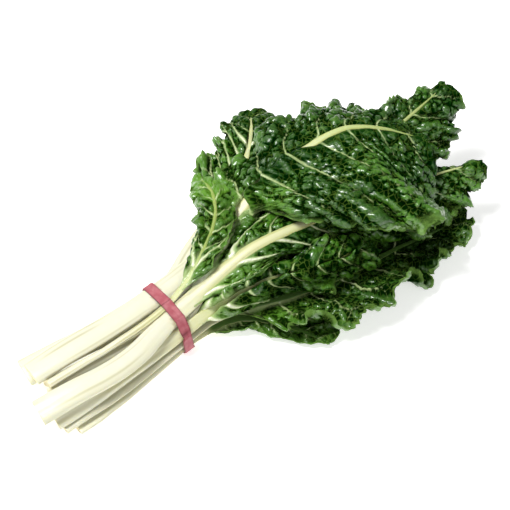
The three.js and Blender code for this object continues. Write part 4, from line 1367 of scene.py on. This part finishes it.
# ---------------------------------------------------------------- the bunch
@dataclass
class Bunch:
    """All the leaves and the band that holds them."""

    leaves: tuple[Leaf, ...] = (
        Leaf("top_near", 11, greening=-0.12,
             stout=((Side.LEFT, 0, 4.2), (Side.LEFT, 1, 2.6), (Side.RIGHT, 0, 2.0), (Side.RIGHT, 1, 1.8),
                    (Side.RIGHT, 2, 1.5))),
        Leaf("top_far", 23, ruffle=4.0, relief=6.4, folds=6.0, fold_length=46.0,
             lap=(6.0, 11.0), lap_rows=13.0),
        Leaf("inner", 37),
        Leaf("far_back", 41),
        Leaf("far_side", 53, relief=4.8, lap=(3.0, 3.0), greening=-0.2,
             stout=tuple((side, which, 2.0) for side in Side for which in range(1, 6))),
        Leaf("far_small", 67, ruffle=3.0, youth=0.3, bright_tip=1.0, lap=(3.0, 3.0), greening=0.5,
             stout=((Side.LEFT, 1, 1.6), (Side.RIGHT, 1, 1.6))),
        Leaf("near_upper", 71, lap=(9.5, 9.5), dim_within=3.0, greening=0.2,
             stout=((Side.LEFT, 0, 2.0), (Side.RIGHT, 0, 2.0), (Side.RIGHT, 1, 1.8))),
        Leaf("near_low", 83, age=0.6, dim_within=3.0),
        Leaf("near_ground", 97, ruffle=3.0, youth=0.3, dim_within=3.0),
        Leaf("ground", 103, age=0.3, dim_within=3.0),
    )
    band: RubberBand = field(default_factory=RubberBand)

    def others(self, leaf: Leaf) -> BVHTree:
        """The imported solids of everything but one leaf, for measuring the room round it.

        Args:
            leaf: the leaf to leave out.

        Returns:
            The solids, in millimetres.
        """
        points: list[Array] = []
        triangles: list[Triangle] = []
        for node in sorted(set(self.solids) - {f"stalk_{leaf.name}", f"blade_{leaf.name}"}):
            corners, faces = self.solids[node]
            triangles += [tuple(n + len(points) for n in face) for face in faces]
            points += corners.tolist()
        return BVHTree.FromPolygons(points, triangles)

    def build(self) -> Iterator[Object]:
        """Builds and dresses every piece.

        Yields:
            Each piece.
        """
        self.solids = {node: solid(node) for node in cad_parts}
        front = LeafTissue("leaf_outer_face").make()
        back = LeafTissue("leaf_inner_face", tissue="#2b5216", patch_and_lit_crown="#376319").make()
        flesh = StalkFlesh().make()
        for leaf in self.leaves:
            leaf.read()
            leaf.others = self.others(leaf)
            yield Stalk(leaf).build(flesh)
            yield leaf.blade(front, back)
        yield self.band.build(BandRubber().make())


# ---------------------------------------------------------------- the studio
@dataclass
class Studio:
    """The floor, the lights and the camera."""

    azimuth: float = -43.0
    elevation: float = 52.0
    lens_mm: float = 100.0
    sensor_mm: float = 36.0
    frame_px: float = 510.0
    px_per_m: float = 1297.0  # the picture's scale at the bunch
    origin_px: Pair = (169.0, 337.0)  # where the stalks cross the band's middle
    origin_mm: Place = (-88.84, -2.35, 0.0)  # and its place
    floor_size: float = 6.0
    world: float = 0.2
    key_power: float = 33.0
    key_size: float = 0.55
    key_place: Place = (-0.5, 0.5, 1.55)
    fill_power: float = 9.5
    fill_size: float = 1.6
    fill_place: Place = (-0.5, -1.35, 1.1)

    def stand(self, name: str, data: ID, place: Vector, ahead: Vector) -> Object:
        """Puts a camera or a lamp in its place.

        Args:
            name: its name.
            data: its data.
            place: where it is, in metres.
            ahead: the way that it faces.

        Returns:
            Its object.
        """
        made = linked(name, data)
        made.location = place
        made.rotation_mode = "QUATERNION"
        made.rotation_quaternion = ahead.to_track_quat("-Z", "Y")
        return made

    def camera(self) -> None:
        """Makes the camera."""
        a, e = math.radians(self.azimuth), math.radians(self.elevation)
        right = Vector((math.cos(a), math.sin(a), 0))
        back = Vector((math.sin(a) * math.cos(e), -math.cos(a) * math.cos(e), math.sin(e)))
        half = self.frame_px / 2
        target = (Vector(self.origin_mm) * MM
                  + right * ((half - self.origin_px[0]) / self.px_per_m)
                  + back.cross(right) * ((self.origin_px[1] - half) / self.px_per_m))
        data = bpy.data.cameras.new("camera")
        data.lens = self.lens_mm
        data.sensor_width = self.sensor_mm
        distance = self.lens_mm / self.sensor_mm * self.frame_px / self.px_per_m
        bpy.context.scene.camera = self.stand("camera", data, target + back * distance, -back)

    def lamp(self, name: str, power: float, size: float, place: Place) -> None:
        """Makes a square lamp that points at the bunch.

        Args:
            name: its name.
            power: its power in watts.
            size: its side in metres.
            place: where it is, in metres.
        """
        data = bpy.data.lights.new(name, "AREA")
        data.energy = power
        data.size = size
        self.stand(name, data, Vector(place), -Vector(place))

    def build(self) -> None:
        """Makes the camera, the floor, the lights and the room's own light."""
        self.camera()
        work = bmesh.new()
        bmesh.ops.create_grid(work, x_segments=1, y_segments=1, size=self.floor_size / 2)
        floor = written("floor", work)
        floor.data.materials.append(FloorCard().make())
        self.lamp("key_light", self.key_power, self.key_size, self.key_place)
        self.lamp("fill_light", self.fill_power, self.fill_size, self.fill_place)
        world = bpy.data.worlds.new("room")
        world.use_nodes = True
        background = world.node_tree.nodes["Background"]
        background.inputs["Color"].default_value = colour("#ffffff")
        background.inputs["Strength"].default_value = self.world
        bpy.context.scene.world = world
        bpy.context.scene.view_settings.view_transform = "Standard"


def main() -> None:
    """Builds the whole scene and reports each piece."""
    logging.basicConfig(level=logging.INFO, format="%(name)s: %(message)s")
    for piece in Bunch().build():
        shown = piece.evaluated_get(bpy.context.evaluated_depsgraph_get()).data
        log.info("%s: %d triangles", piece.name, sum(len(face.vertices) - 2 for face in shown.polygons))
    Studio().build()
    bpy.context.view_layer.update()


if __name__ == "__main__":
    main()
